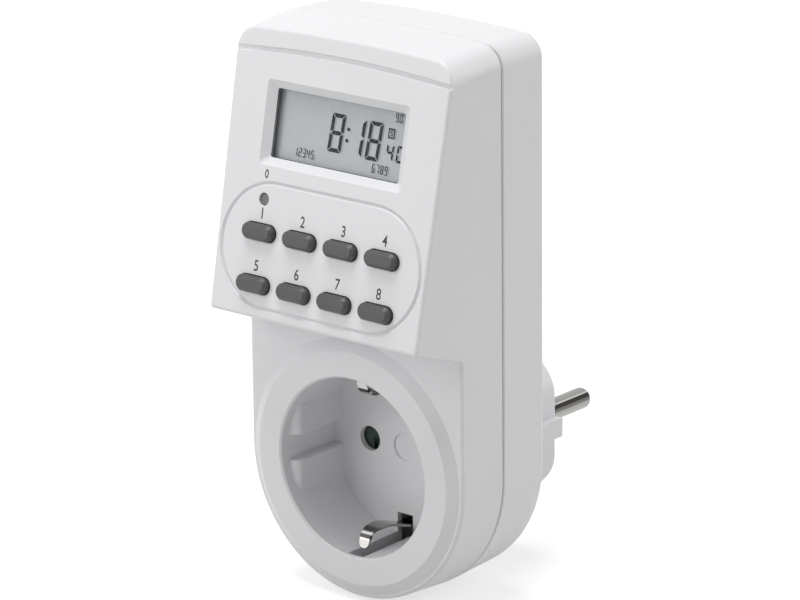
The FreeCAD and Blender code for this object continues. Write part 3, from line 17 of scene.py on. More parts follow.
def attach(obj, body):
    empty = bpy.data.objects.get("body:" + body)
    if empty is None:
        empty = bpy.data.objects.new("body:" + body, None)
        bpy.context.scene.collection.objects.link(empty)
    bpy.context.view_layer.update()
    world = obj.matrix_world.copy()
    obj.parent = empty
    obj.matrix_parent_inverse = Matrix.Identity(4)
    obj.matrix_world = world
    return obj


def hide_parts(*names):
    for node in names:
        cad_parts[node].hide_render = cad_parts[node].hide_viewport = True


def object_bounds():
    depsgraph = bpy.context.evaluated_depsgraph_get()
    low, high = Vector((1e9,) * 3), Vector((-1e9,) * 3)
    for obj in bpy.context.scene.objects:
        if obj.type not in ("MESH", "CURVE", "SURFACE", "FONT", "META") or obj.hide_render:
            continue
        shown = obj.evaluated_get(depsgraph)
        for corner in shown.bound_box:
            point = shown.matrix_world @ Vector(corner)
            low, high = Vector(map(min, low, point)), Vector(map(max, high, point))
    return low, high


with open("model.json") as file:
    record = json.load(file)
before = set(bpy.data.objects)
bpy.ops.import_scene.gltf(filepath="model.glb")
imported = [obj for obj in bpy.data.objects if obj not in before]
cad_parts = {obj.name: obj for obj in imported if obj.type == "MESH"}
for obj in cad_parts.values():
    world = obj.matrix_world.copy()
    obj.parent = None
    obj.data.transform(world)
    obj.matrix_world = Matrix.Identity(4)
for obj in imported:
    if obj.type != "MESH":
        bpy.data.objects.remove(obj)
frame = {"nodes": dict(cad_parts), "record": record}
NODES = frame["nodes"]
BODY_OF = {node: body for body, nodes in frame["record"]["behaviour"]["bodies"].items() for node in nodes}
CAD_BOX = [list(corner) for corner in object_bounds()]
MM = 0.001
print("nodes:", len(NODES), "box:", CAD_BOX)

# %% [markdown]
# ## Camera
# The photograph was taken from the right and a little above with a long lens, so lines hardly converge. A
# camera could be placed by eye, but here its place, turn and focal length were fitted to the socket's
# circles, the keys and the console's corners, so that the render and the photograph can be laid over each
# other.

# %% Camera
PICTURE_WIDTH = 800
FOCAL_PIXELS = 4540.63
SENSOR = 36.0
CAMERA_SPOT = (582.39, -730.21, 315.09)
CAMERA_TURNS = {"azimuth": 39.85, "elevation": 17.25, "roll": -0.65}


def turned_axes(azimuth, elevation, roll):
    """Camera axes right, up and back. Back is the direction at that azimuth and elevation, right is level and
    square to it, up is their cross product, and the roll mixes right and up by its cosine and sine."""
    a, e, r = np.radians([azimuth, elevation, roll])
    right = np.array([np.cos(a), np.sin(a), 0.0])
    back = np.array([np.sin(a) * np.cos(e), -np.cos(a) * np.cos(e), np.sin(e)])
    up = np.cross(back, right)
    return np.cos(r) * right + np.sin(r) * up, -np.sin(r) * right + np.cos(r) * up, back


def place_camera(spot, azimuth, elevation, roll):
    """Adds the camera at a spot in millimetres, with its turns in degrees."""
    camera = bpy.data.objects.new("camera", bpy.data.cameras.new("camera"))
    bpy.context.scene.collection.objects.link(camera)
    axes = np.eye(4)
    axes[:3, :3] = np.array(turned_axes(azimuth, elevation, roll)).T
    axes[:3, 3] = np.array(spot) * MM
    camera.matrix_world = Matrix(axes.tolist())
    camera.data.lens = FOCAL_PIXELS / PICTURE_WIDTH * SENSOR
    camera.data.sensor_width = SENSOR
    camera.data.clip_start = 0.05
    camera.data.clip_end = 20
    bpy.context.scene.camera = camera
    return camera


CAMERA = place_camera(CAMERA_SPOT, **CAMERA_TURNS)
print("lens:", round(CAMERA.data.lens, 2), "mm")

# %% [markdown]
# ## One helper for colours and one for nodes
# Colours are written as sRGB hex codes, as a paint chart gives them, and one function turns them to the
# linear values that shaders work in. One function adds a node with its settings and links, so a material
# reads as a list.

# %% Colour and node helpers
def linear(code, shade=1.0):
    """The linear colour of an sRGB hex code, times a shade."""
    part = np.array([int(code[i : i + 2], 16) for i in (1, 3, 5)]) / 255
    part = np.where(part <= 0.04045, part / 12.92, ((part + 0.055) / 1.055) ** 2.4)
    return (*(part * shade).tolist(), 1.0)


def add(tree, kind, links=(), out=0, **settings):
    """Adds a node, sets its properties, fills its inputs with values or other nodes' outputs, and gives one
    of its own outputs."""
    made = tree.nodes.new(kind)
    for name, value in settings.items():
        setattr(made, name, value)
    for name, value in dict(links).items():
        if isinstance(value, bpy.types.NodeSocket):
            tree.links.new(value, made.inputs[name])
        else:
            made.inputs[name].default_value = value
    return made.outputs[out]


def new_finish(name):
    """A material with its tree, its shader and the object's own coordinates."""
    made = bpy.data.materials.new(name)
    made.use_nodes = True
    tree = made.node_tree
    return made, tree, tree.nodes["Principled BSDF"], add(tree, "ShaderNodeTexCoord", out="Object")


print("white in linear light:", [round(v, 3) for v in linear("#E1E1E3")])

# %% [markdown]
# ## Moulded plastic
# The shells, keys and most inner parts are injection-moulded. ABS has an IOR of about 1.54. Its skin copies
# the mould's fine spark-eroded grain, about a third of a millimetre across, which breaks up reflections, and
# its tone drifts a little over about two centimetres. Three noises give that: one mixes two near tones, one
# moves the roughness, and the finest one bumps the skin by a few thousandths of a millimetre.

# %% Moulded plastic
def moulded(name, code, rough=0.42, drift=0.03, grain=0.35, depth=0.004, ior=1.54):
    """The tone darkens by a share called drift. Grain and depth are the skin's width and height in
    millimetres."""
    made, tree, shader, place = new_finish(name)
    clouds = add(tree, "ShaderNodeTexNoise", {"Vector": place, "Scale": 1 / (18 * MM)})
    tone = add(tree, "ShaderNodeMix", {0: clouds, 6: linear(code, 1 - drift), 7: linear(code)}, 2,
               data_type="RGBA")
    tree.links.new(tone, shader.inputs["Base Color"])
    patches = add(tree, "ShaderNodeTexNoise", {"Vector": place, "Scale": 1 / (5 * MM)})
    sheen = add(tree, "ShaderNodeMapRange", {0: patches, 1: 0.3, 2: 0.7, 3: rough - 0.03, 4: rough + 0.04})
    tree.links.new(sheen, shader.inputs["Roughness"])
    erosion = add(tree, "ShaderNodeTexNoise", {"Vector": place, "Scale": 1 / (grain * MM), "Detail": 3.0})
    skin = add(tree, "ShaderNodeBump", {"Strength": 0.6, "Distance": depth * MM, "Height": erosion})
    tree.links.new(skin, shader.inputs["Normal"])
    shader.inputs["IOR"].default_value = ior
    return made


FINISH = {
    "white_plastic": moulded("white_moulded_abs", "#E1E1E3", rough=0.4),
    "key_plastic": moulded("dark_grey_key_abs", "#3E3E3E", rough=0.42, drift=0.06, grain=0.2),
    "black_plastic": moulded("black_moulded_abs", "#1B1B1C", rough=0.5),
    "shutter_plastic": moulded("dark_green_shutter_abs", "#2A3B35", rough=0.4),
    "ribbon_plastic": moulded("grey_ribbon_pvc", "#98999B", rough=0.5, grain=0.8),
    "relay_case": moulded("blue_relay_case", "#1C4A8C", rough=0.35),
    "capacitor_case": moulded("ochre_capacitor_case", "#C79A33", rough=0.35),
    "rubber": moulded("grey_silicone_rubber", "#8A8C8E", rough=0.7, grain=0.6, ior=1.43),
}
print("plastics:", sorted(FINISH))

# %% [markdown]
# ## Plated and bare metal
# The screws, the shutter's spring and the small cans are steel, mostly under zinc. The sprung contacts, the
# strap and the rivet are bare brass. Strip is rolled and screws are turned, so fine lines run along them and
# their tone changes over a millimetre or two. One noise stretched along the metal gives two tones, a finer
# one draws the lines and moves the roughness. Metal keeps the default IOR.

# %% Plated and bare metal
def plated(name, bright, dull, stretch, band=1.8, rough=0.2, depth=0.002):
    """Tones mix over bands of a width in millimetres; a stretch near 0 on an axis makes them run along it."""
    made, tree, shader, place = new_finish(name)
    along = add(tree, "ShaderNodeMapping", {"Vector": place, "Scale": stretch})
    bands = add(tree, "ShaderNodeTexNoise", {"Vector": along, "Scale": 1 / (band * MM), "Detail": 1.0})
    share = add(tree, "ShaderNodeMapRange", {0: bands, 1: 0.4, 2: 0.6}, interpolation_type="SMOOTHSTEP")
    tone = add(tree, "ShaderNodeMix", {0: share, 6: linear(dull), 7: linear(bright)}, 2, data_type="RGBA")
    tree.links.new(tone, shader.inputs["Base Color"])
    lines = add(tree, "ShaderNodeTexNoise", {"Vector": along, "Scale": 1 / (0.2 * MM), "Detail": 3.0})
    sheen = add(tree, "ShaderNodeMapRange", {0: lines, 1: 0.3, 2: 0.7, 3: rough - 0.06, 4: rough + 0.08})
    tree.links.new(sheen, shader.inputs["Roughness"])
    skin = add(tree, "ShaderNodeBump", {"Strength": 0.5, "Distance": depth * MM, "Height": lines})
    tree.links.new(skin, shader.inputs["Normal"])
    shader.inputs["Metallic"].default_value = 1.0
    return made


ALONG_Y = (1.0, 0.04, 1.0)
ALONG_X = (0.12, 1.0, 1.0)
FINISH["steel"] = plated("zinc_plated_steel", "#BBBBB8", "#90908D", ALONG_Y, rough=0.32)
FINISH["brass"] = plated("bare_rolled_brass", "#CDA95F", "#B18F4A", ALONG_X, rough=0.25)
print("metals:", [FINISH[slot].name for slot in ("steel", "brass")])

# %% [markdown]
# The socket's earth clips and the plug's pins are brass under polished nickel. That is a mirror, so what one
# sees on it is its surroundings: bright above, dark at eye level, softer below. A plain white room has no
# dark to show. A dark card could stand beside the camera, but it would dim the white shell as well, so these
# reflections are painted into the plating's colour instead, as painted bands in five tones from a painted
# glint to dark. Their place is a distance in millimetres: the height of a point on a pin, or the way along a
# bent clip, which depth plus height measures well enough.

# %% Polished nickel with painted reflection bands
def painted_reflection_bands(name, direction, bands, mirrored=False, rough=0.16):
    """Painted reflections as tones along a direction: place dot direction runs through a ramp of
    (millimetres, colour). A mirrored pattern takes the place's size without its sign, so the upper and the
    lower clip get the same painted bands."""
    made, tree, shader, place = new_finish(name)
    folded = add(tree, "ShaderNodeVectorMath", {0: place}, operation="ABSOLUTE") if mirrored else place
    way = add(tree, "ShaderNodeVectorMath", {0: folded, 1: direction}, "Value", operation="DOT_PRODUCT")
    low, high = bands[0][0], bands[-1][0]
    share = add(tree, "ShaderNodeMapRange", {0: way, 1: low * MM, 2: high * MM})
    ramp = add(tree, "ShaderNodeValToRGB", {0: share}).node
    for spot, _ in bands[1:-1]:
        ramp.color_ramp.elements.new((spot - low) / (high - low))
    for stop, (spot, code) in zip(ramp.color_ramp.elements, bands):
        stop.color = linear(code)
    lines = add(tree, "ShaderNodeTexNoise", {"Vector": place, "Scale": 1 / (0.25 * MM), "Detail": 3.0})
    dulled = add(tree, "ShaderNodeMix", {0: lines, 6: linear("#E8E8E8"), 7: linear("#FFFFFF")}, 2,
                 data_type="RGBA")
    tone = add(tree, "ShaderNodeMix", {0: 1.0, 6: ramp.outputs[0], 7: dulled}, 2, data_type="RGBA",
               blend_type="MULTIPLY")
    tree.links.new(tone, shader.inputs["Base Color"])
    sheen = add(tree, "ShaderNodeMapRange", {0: lines, 1: 0.3, 2: 0.7, 3: rough - 0.04, 4: rough + 0.06})
    tree.links.new(sheen, shader.inputs["Roughness"])
    shader.inputs["Metallic"].default_value = 1.0
    return made


# Five tones of painted reflection, from a painted glint to a painted dark band.
GLINT, BRIGHT, PALE, MIDDLE, DARK = "#E2E1DF", "#BDBBB9", "#A2A19E", "#757370", "#3B3937"
CLIP_REFLECTION_BANDS = [(47.0, MIDDLE), (50.0, BRIGHT), (52.0, PALE), (56.0, PALE), (57.5, MIDDLE), (59.1, MIDDLE),
              (59.4, GLINT), (60.1, GLINT), (60.4, DARK), (61.4, DARK), (61.7, BRIGHT), (65.0, BRIGHT)]
PIN_REFLECTION_BANDS = [(-2.4, PALE), (0.05, PALE), (0.25, MIDDLE), (0.8, MIDDLE), (0.95, DARK), (1.6, DARK),
             (1.8, GLINT), (1.95, PALE), (2.4, PALE)]
FINISH["nickel"] = painted_reflection_bands("nickel_strip_painted_reflections", (0.0, 1.0, 1.0), CLIP_REFLECTION_BANDS, mirrored=True)
PIN_NICKEL = painted_reflection_bands("nickel_pin_painted_reflections", (0.0, 0.0, 1.0), PIN_REFLECTION_BANDS)
print("bands on clip and pin:", len(CLIP_REFLECTION_BANDS), len(PIN_REFLECTION_BANDS))

# %% [markdown]
# ## Boards and lacquered parts
# The two boards are glass-fibre laminate under green lacquer, with copper tracks that show as slightly
# lighter bands about a millimetre wide. The plate that carries the plug's contacts is pressed brown paper
# laminate with a mottled face. A pattern of square cells draws both: the cells' rims take a second tone and
# stand up a little. The resistor has a dipped lacquer.

# %% Boards and lacquered parts
def laminate(name, code, track, rough, size):
    """Cells of a size in millimetres, each with a rim in the tone of the tracks."""
    made, tree, shader, place = new_finish(name)
    bands = add(tree, "ShaderNodeTexVoronoi", {"Vector": place, "Scale": 1 / (size * MM)},
                distance="CHEBYCHEV")
    edge = add(tree, "ShaderNodeMapRange", {0: bands, 1: 0.35, 2: 0.42, 3: 0.0, 4: 1.0})
    tone = add(tree, "ShaderNodeMix", {0: edge, 6: linear(code), 7: linear(track)}, 2, data_type="RGBA")
    tree.links.new(tone, shader.inputs["Base Color"])
    skin = add(tree, "ShaderNodeBump", {"Strength": 0.6, "Distance": 0.03 * MM, "Height": edge})
    tree.links.new(skin, shader.inputs["Normal"])
    shader.inputs["Roughness"].default_value = rough
    return made


FINISH["circuit_board"] = laminate("green_lacquered_laminate", "#1E5A34", "#2C7545", 0.3, 4.0)
FINISH["board_plastic"] = laminate("brown_pressed_laminate", "#8A6238", "#7C5630", 0.55, 1.5)
FINISH["resistor_body"] = moulded("dipped_blue_grey_lacquer", "#6E8192", rough=0.3, grain=0.5, depth=0.01)
print("finishes so far:", len(FINISH))

# %% [markdown]
# ## Window and display
# The window is clear acrylic a millimetre thick, which lets about nine tenths of the light through. Real
# refraction in so thin a sheet changes nothing to the eye but blocks lamp light in the render, so the sheet
# is shown by a low alpha. The display cell behind it is grey glass over a brushed reflector.

# %% Window and display finishes
def clear_sheet(name):
    """A gloss over next to nothing: its base shows by a fiftieth."""
    made, tree, shader, place = new_finish(name)
    haze = add(tree, "ShaderNodeTexNoise", {"Vector": place, "Scale": 1 / (6 * MM)})
    sheen = add(tree, "ShaderNodeMapRange", {0: haze, 1: 0.3, 2: 0.7, 3: 0.03, 4: 0.06})
    tree.links.new(sheen, shader.inputs["Roughness"])
    shader.inputs["Base Color"].default_value = linear("#F4F6F6")
    shader.inputs["IOR"].default_value = 1.49
    shader.inputs["Alpha"].default_value = 0.02
    return made


FINISH["clear_window"] = clear_sheet("clear_acrylic")
FINISH["display_glass"] = moulded("grey_display_cell", "#AFB4B7", rough=0.3, drift=0.05, grain=0.15,
                                  depth=0.001)
print("finishes:", sorted(FINISH))

# %% [markdown]
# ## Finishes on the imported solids
# Every solid takes the finish of its material slot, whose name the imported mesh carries.

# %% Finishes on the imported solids
for node, thing in NODES.items():
    slot = thing.data.materials[0].name.split(".")[0]
    thing.data.materials.clear()
    thing.data.materials.append(FINISH[slot])
    thing["finish_slot"] = slot
print("slots:", sorted({thing["finish_slot"] for thing in NODES.values()}))

# %% [markdown]
# ## Shells, keys and metal parts with softened edges
# No moulded edge is truly sharp: it has a radius of a few tenths of a millimetre that catches light. The
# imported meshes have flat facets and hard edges. They could be rebuilt by hand, but their shape is already
# right, so a copy of each visible one is merged and its flat regions are joined into single faces. A small
# bevel then eases the creases of the shells and the bent strips, while the keys and pins have round edges
# already. The normals are weighted by face size, so the large faces stay flat and only the edges turn.

# %% Softened copies
SAME_POINT = 0.002
SAME_PLANE = np.radians(0.4)
CREASE = np.radians(25)
SHELL_EASE, STRIP_EASE = 0.18, 0.08


def softened(node, name, ease=0.0, finish=None):
    """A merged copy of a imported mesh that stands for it, with creases eased by a radius in millimetres."""
    mesh = NODES[node].data.copy()
    mesh.name = name
    if finish:
        mesh.materials[0] = finish
    work = bmesh.new()
    work.from_mesh(mesh)
    bmesh.ops.remove_doubles(work, verts=work.verts, dist=SAME_POINT * MM)
    bmesh.ops.dissolve_limit(work, angle_limit=SAME_PLANE, verts=work.verts, edges=work.edges)
    work.to_mesh(mesh)
    work.free()
    mesh.shade_smooth()
    mesh.set_sharp_from_angle(angle=CREASE)
    piece = bpy.data.objects.new(name, mesh)
    bpy.context.scene.collection.objects.link(piece)
    if ease:
        bevel = piece.modifiers.new("eased_edges", "BEVEL")
        bevel.limit_method = "ANGLE"
        bevel.angle_limit = CREASE
        bevel.width = ease * MM
        bevel.segments = 3
        bevel.miter_outer = "MITER_ARC"
    even = piece.modifiers.new("even_shading", "WEIGHTED_NORMAL")
    even.keep_sharp = True
    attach(piece, BODY_OF[node])
    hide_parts(node)
    return piece


SHELLS = [softened(f"{side}_housing", f"{side}_shell", SHELL_EASE) for side in ("front", "rear")]
METAL = [softened(n, f"{n}_eased", STRIP_EASE) for n in ("socket_earth_clips", "plug_earth_strip")]
PINS = [softened(n, f"{n}_smooth", finish=PIN_NICKEL) for n in ("live_pin", "neutral_pin")]
RESET_GREY = moulded("grey_reset_key_abs", "#6C6C6C", rough=0.5, drift=0.06, grain=0.2)
KEYS = [softened(n, n.replace("button", "key"), finish=RESET_GREY if n == "reset_button" else None)
        for n in sorted(NODES) if n.endswith("_button")]
print("softened:", [(p.name, len(p.data.polygons)) for p in SHELLS + METAL + PINS], "keys:", len(KEYS))

# %% [markdown]
# ## Soft flats on the plug
# The plug's body is round with a flat on each side. On the real one each flat runs into the round without an
# edge, and the light fades softly across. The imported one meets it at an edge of 30 degrees. A bevel could
# ease it only by the width of one narrow strip, so columns are cut there, and their points are moved in to an
# arc tangent to both.

# %% Soft flats
PLUG_RADIUS, PLUG_FLAT, PLUG_BLEND = 18.6, 16.2, 8.0
PLUG_ROOT = -20.31
SKIN = 1.2
BLEND_FOOT = np.sqrt((PLUG_RADIUS - PLUG_BLEND) ** 2 - (PLUG_FLAT - PLUG_BLEND) ** 2)
BLEND_END = BLEND_FOOT * PLUG_RADIUS / (PLUG_RADIUS - PLUG_BLEND)


def plug_edge(z):
    """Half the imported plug's width at a height: min(flat, sqrt(R^2 - z^2))."""
    return np.minimum(PLUG_FLAT, np.sqrt(np.clip(PLUG_RADIUS ** 2 - z ** 2, 0, None)))


def is_skin(x, y, z):
    """True past the plug's root within SKIN millimetres of its outside, so false on the wall's inner side."""
    return (y > PLUG_ROOT) & (np.abs(x) > plug_edge(z) - SKIN)


def cut_columns(mesh, columns=12):
    """Cuts the skin's faces, but not the plug's flat front, at even heights from the arc's foot to its
    end."""
    work = bmesh.new()
    work.from_mesh(mesh)
    faces = [face for face in work.faces if abs(face.normal.y) < 0.99
             and all(v.co.y > PLUG_ROOT * MM and is_skin(*(np.array(v.co) / MM)) for v in face.verts)]
    edges = {edge for face in faces for edge in face.edges}
    points = {point for face in faces for point in face.verts}
    parts = [*faces, *edges, *points]
    for level in np.linspace(BLEND_FOOT, BLEND_END, columns):
        for sign in (-1, 1):
            parts = bmesh.ops.bisect_plane(work, geom=parts, dist=0.003 * MM, plane_no=(0, 0, 1),
                                           plane_co=(0, 0, sign * level * MM))["geom"]
    work.to_mesh(mesh)
    work.free()


def blend_flats(piece):
    """Between the heights foot and end the skin moves in by edge(z) - (flat - r + sqrt(r^2 - (z - foot)^2)),
    with foot = sqrt((R - r)^2 - (flat - r)^2) and end = foot R / (R - r)."""
    cut_columns(piece.data)
    spots = np.zeros(len(piece.data.vertices) * 3, np.float32)
    piece.data.vertices.foreach_get("co", spots)
    x, y, z = spots.reshape(-1, 3).T.astype(float) / MM
    up = np.clip(np.abs(z), BLEND_FOOT, BLEND_END)
    arc = PLUG_FLAT - PLUG_BLEND + np.sqrt(PLUG_BLEND ** 2 - (up - BLEND_FOOT) ** 2)
    moved = is_skin(x, y, z) & (np.abs(z) < BLEND_END)
    x = x - np.sign(x) * np.where(moved, plug_edge(up) - arc, 0)
    piece.data.vertices.foreach_set("co", (np.stack([x, y, z], 1) * MM).astype(np.float32).ravel())
    piece.data.shade_smooth()
    piece.data.set_sharp_from_angle(angle=CREASE)
    return int(moved.sum())


MOVED = blend_flats(SHELLS[1])
print("points moved:", MOVED, "foot and end:", BLEND_FOOT.round(2), BLEND_END.round(2))

# %% [markdown]
# ## Rounded noses on the socket's guides
# Four blocks stand in the socket beside the plug's flats. On the real part their front ends are well rounded,
# so that a plug slides in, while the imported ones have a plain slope. Each nose is a surface of two
# parameters: a quarter of an ellipse in plan, swept along the block, whose free end is drawn in over half a
# millimetre.

# %% Guide noses
GUIDE_INNER, GUIDE_BACK, GUIDE_ENDS = 17.0, -44.6, (2.76, 9.55)
NOSE_WIDE, NOSE_DEEP, NOSE_ROUND = 2.5, 1.98, 0.5
NOSE_CREASE = np.radians(50)


def guide_nose(side, level, around=16, along=24):
    """x = side (inner + wide - (wide - d) sin t), y = back - (deep - d) cos t, z = level s, with t from 0 to
    90 degrees, s between the block's ends and d = r - sqrt(r^2 - (r - w)^2) for the first r of the way w.
    The last row is the line x = side (inner + wide), y = back, inside the wall, which makes the outline a
    closed one."""
    t, way = np.meshgrid(np.linspace(0, np.pi / 2, around), np.linspace(0, 1, along) ** 2, indexing="ij")
    s = GUIDE_ENDS[0] + way * (GUIDE_ENDS[1] - GUIDE_ENDS[0])
    near = np.clip(NOSE_ROUND - (s - GUIDE_ENDS[0]), 0, NOSE_ROUND)
    drawn = NOSE_ROUND - np.sqrt(NOSE_ROUND ** 2 - near ** 2)
    x = GUIDE_INNER + NOSE_WIDE - (NOSE_WIDE - drawn) * np.sin(t)
    y = GUIDE_BACK - (NOSE_DEEP - drawn) * np.cos(t)
    core = np.broadcast_to([GUIDE_INNER + NOSE_WIDE, GUIDE_BACK], (1, along, 2))
    plan = np.concatenate([np.stack([x, y], -1), core])
    return np.dstack([side * plan[..., 0], plan[..., 1], level * np.broadcast_to(s[:1], plan.shape[:2])]) * MM


def closed_tube(rows, columns, start, flip):
    """Faces of a closed outline of so many rows carried through so many columns, with a flat face at each
    end. A flip turns them all about."""
    row, column = np.meshgrid(np.arange(rows), np.arange(columns - 1), indexing="ij")
    here, beside = (row * columns + column).ravel(), (((row + 1) % rows) * columns + column).ravel()
    sides = np.stack([here, beside, beside + 1, here + 1], 1) + start
    ends = [np.arange(rows)[::-1] * columns + start, np.arange(rows) * columns + columns - 1 + start]
    faces = sides.tolist() + [end.tolist() for end in ends]
    return [face[::-1] for face in faces] if flip else faces


def guide_noses():
    """One mesh of the four noses. Two are mirror images of the other two, so their faces are turned about."""
    corners = [(side, level) for side in (-1, 1) for level in (-1, 1)]
    grids = np.stack([guide_nose(*corner) for corner in corners])
    rows, columns = grids.shape[1:3]
    faces = [face for i, (side, level) in enumerate(corners)
             for face in closed_tube(rows, columns, i * rows * columns, side * level > 0)]
    mesh = bpy.data.meshes.new("guide_noses")
    mesh.from_pydata(grids.reshape(-1, 3).tolist(), [], faces)
    mesh.shade_smooth()
    mesh.set_sharp_from_angle(angle=NOSE_CREASE)
    mesh.materials.append(FINISH["white_plastic"])
    piece = bpy.data.objects.new("guide_noses", mesh)
    bpy.context.scene.collection.objects.link(piece)
    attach(piece, "root")
    return piece


NOSES = guide_noses()
print("nose faces:", len(NOSES.data.polygons))

# %% [markdown]
# ## The panel's own plane
# The keys, the printed numbers and the display lie on the sloping panel. Its plane starts at the console's
# bottom edge and leans back by 11.7 degrees. A point on it is given by x, by its height up the slope, and by
# how far it stands out of the surface.

# %% Panel plane
PANEL_FOOT = (-61.13, 33.1)
PANEL_TILT = np.radians(11.7)


def on_panel(x, up, out):
    """The place in metres of panel coordinates in millimetres: y goes back by the height times the sine of
    the tilt and comes forward by out times its cosine, z rises by the height times the cosine and out times
    the sine."""
    x, up, out = np.broadcast_arrays(np.asarray(x, float), up, out)
    y = PANEL_FOOT[0] + up * np.sin(PANEL_TILT) - out * np.cos(PANEL_TILT)
    z = PANEL_FOOT[1] + up * np.cos(PANEL_TILT) + out * np.sin(PANEL_TILT)
    return np.stack([x, y, z], -1) * MM


def flat_piece(name, points, faces, finish):
    """A mesh of flat faces that rides on the shells' body."""
    mesh = bpy.data.meshes.new(name)
    mesh.from_pydata(points.tolist(), [], faces)
    mesh.materials.append(finish)
    piece = bpy.data.objects.new(name, mesh)
    bpy.context.scene.collection.objects.link(piece)
    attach(piece, "root")
    return piece


print("panel top edge:", on_panel(0, 56.2, 0).round(4))

# %% [markdown]
# ## The display's segments
# A display of this kind shows digits made of seven bars. The outer bars are mitred where they meet, with a
# hair's gap, and their outer corners are cut. Each kind of bar is drawn once, in its own axes along and
# inward, then placed by its corner and two directions, and the digit leans over slightly, as on the real
# glass. The bars lie just above the cell's reflector, on which each throws a faint shadow beside it: a paler
# set of bars, shifted over, is that painted shadow.

# %% Segment digits
LIT = {"0": "abcdef", "1": "bc", "2": "abged", "3": "abgcd", "4": "fgbc", "5": "afgcd", "6": "afgedc",
       "7": "abc", "8": "abcdefg", "9": "abcdfg"}
BAR_FRAMES = {
    "a": ("end", (0, 1), (1, 0), (0, -1)), "d": ("end", (0, 0), (1, 0), (0, 1)),
    "f": ("side", (0, 1), (0, -1), (1, 0)), "b": ("side", (1, 1), (0, -1), (-1, 0)),
    "e": ("side", (0, 0), (0, 1), (1, 0)), "c": ("side", (1, 0), (0, 1), (-1, 0)),
    "g": ("middle", (0, 0.5), (1, 0), (0, 1)),
}
SLANT = 0.07


def bar_outlines(wide, high, t):
    """Six corners (along, inward) of each kind of bar of thickness t. End and side bars start at a cut corner
    of t/3, meet at 45 degrees with a gap g, and are t + g shorter inside. The middle bar is pointed at both
    ends."""
    g, c, half = 0.16 * t, t / 3, high / 2
    mitre = ((c + g) / 2, (c - g) / 2)
    return {
        "end": [(c, 0), (wide - c, 0), (wide - mitre[0], mitre[1]), (wide - t - g, t), (t + g, t), mitre],
        "side": [(c, 0), (half - g, 0), (half - g, t / 6), (half - t / 2 - g, t), (t + g, t), mitre],
        "middle": [(t / 2, 0), (t, -t / 2), (wide - t, -t / 2), (wide - t / 2, 0), (wide - t, t / 2),
                   (t, t / 2)],
    }


def segment_digit(digit, left, low, wide, high, t):
    """Corners of a digit's lit bars, an array bars x 6 x 2 in panel millimetres: corner + along * run +
    inward * normal, x then shifted by the slant times the height. Mirrored bars are listed backwards, to
    face outward."""
    outlines = bar_outlines(wide, high, t)
    bars = []
    for bar in LIT[digit]:
        kind, corner, run, normal = BAR_FRAMES[bar]
        points = np.array(outlines[kind]) @ np.array([run, normal], float) + np.multiply(corner, (wide, high))
        bars.append(points if np.linalg.det([run, normal]) > 0 else points[::-1])
    bars = np.array(bars)
    bars[..., 0] += left + SLANT * bars[..., 1]
    bars[..., 1] += low
    return bars


print("bars of an 8:", segment_digit("8", 0, 0, 4, 8, 0.8).shape)

# %% [markdown]
# Three large digits stand about a colon, a medium pair follows, and rows of small figures fill the places of
# the display's other signs. Each entry below is a figure, its left and its foot on the panel, its width, its
# height and the thickness of its bars. Everything is laid on the display's face in one mesh per tone.

# %% Marks on the display
GLASS_FACE = -2.75
LIT_OUT, PAINTED_SHADOW_OUT, SEAL_AND_SHADE_OUT = GLASS_FACE + 0.03, GLASS_FACE + 0.012, GLASS_FACE + 0.02
# How far the painted shadows of the bars lie over and down from the bars.
PAINTED_SHADOW_SHIFT = (0.4, -0.1)
LARGE = [(figure, left, low, 3.6, 8.05, 0.85)
         for figure, left, low in (("8", -3.65, 36.95), ("1", 1.85, 36.9), ("8", 6.35, 36.87))]
MEDIUM = [("4", 11.75, 37.5, 1.9, 3.5, 0.5), ("0", 14.45, 37.5, 1.9, 3.5, 0.5),
          ("5", 12.35, 42.6, 0.75, 1.15, 0.22)]
SMALL_STEP = 1.12
SMALL = [(figure, left + SMALL_STEP * place, low, 0.78, 1.85, 0.22)
         for figures, left, low in (("12345", -12.2, 34.6), ("6789", 8.6, 34.5), ("90", 13.2, 45.6))
         for place, figure in enumerate(figures)]
DIGITS = LARGE + MEDIUM + SMALL
COLON = ((1.43, 42.2, 0.4), (1.3, 39.85, 0.4))
SIGN_BOX = (11.85, 13.6, 42.1, 44.2, 0.3)


def round_dot(x, up, radius, count=16):
    """A dot as a polygon: its centre plus the radius times cosine and sine."""
    turn = np.linspace(0, 2 * np.pi, count, endpoint=False)
    return np.stack([x + radius * np.cos(turn), up + radius * np.sin(turn)], 1)


def box_rim(left, right, low, high, thick):
    """The four mitred sides of an upright rectangle, 4 x 4 x 2."""
    outer = np.array([[left, low], [right, low], [right, high], [left, high]])
    inner = outer + np.array([[thick, thick], [-thick, thick], [-thick, -thick], [thick, -thick]])
    return np.stack([outer, np.roll(outer, -1, 0), np.roll(inner, -1, 0), inner], 1)


MARKS = [np.concatenate([segment_digit(*digit) for digit in DIGITS]),
         np.stack([round_dot(*dot) for dot in COLON]),
         box_rim(*SIGN_BOX)]


def lay_marks(name, groups, shift, out, finish):
    """One mesh of flat polygons, each group an array polygons x corners x 2, moved over by a shift and laid a
    distance out of the panel, which is below zero for a depth behind it."""
    counts = [group.shape[0] * group.shape[1] for group in groups]
    starts = np.cumsum([0] + counts)
    faces = [face for group, start, count in zip(groups, starts, counts)
             for face in np.arange(start, start + count).reshape(group.shape[:2]).tolist()]
    flat = np.concatenate([group.reshape(-1, 2) for group in groups]) + shift
    points = on_panel(flat[:, 0], flat[:, 1], out)
    return flat_piece(name, points, faces, finish)


def under_glass(name, code):
    """A tone inside the cell, where no surface of its own mirrors the room."""
    made = moulded(name, code, rough=0.6, grain=0.15, depth=0.001)
    made.node_tree.nodes["Principled BSDF"].inputs["Specular IOR Level"].default_value = 0.0
    return made


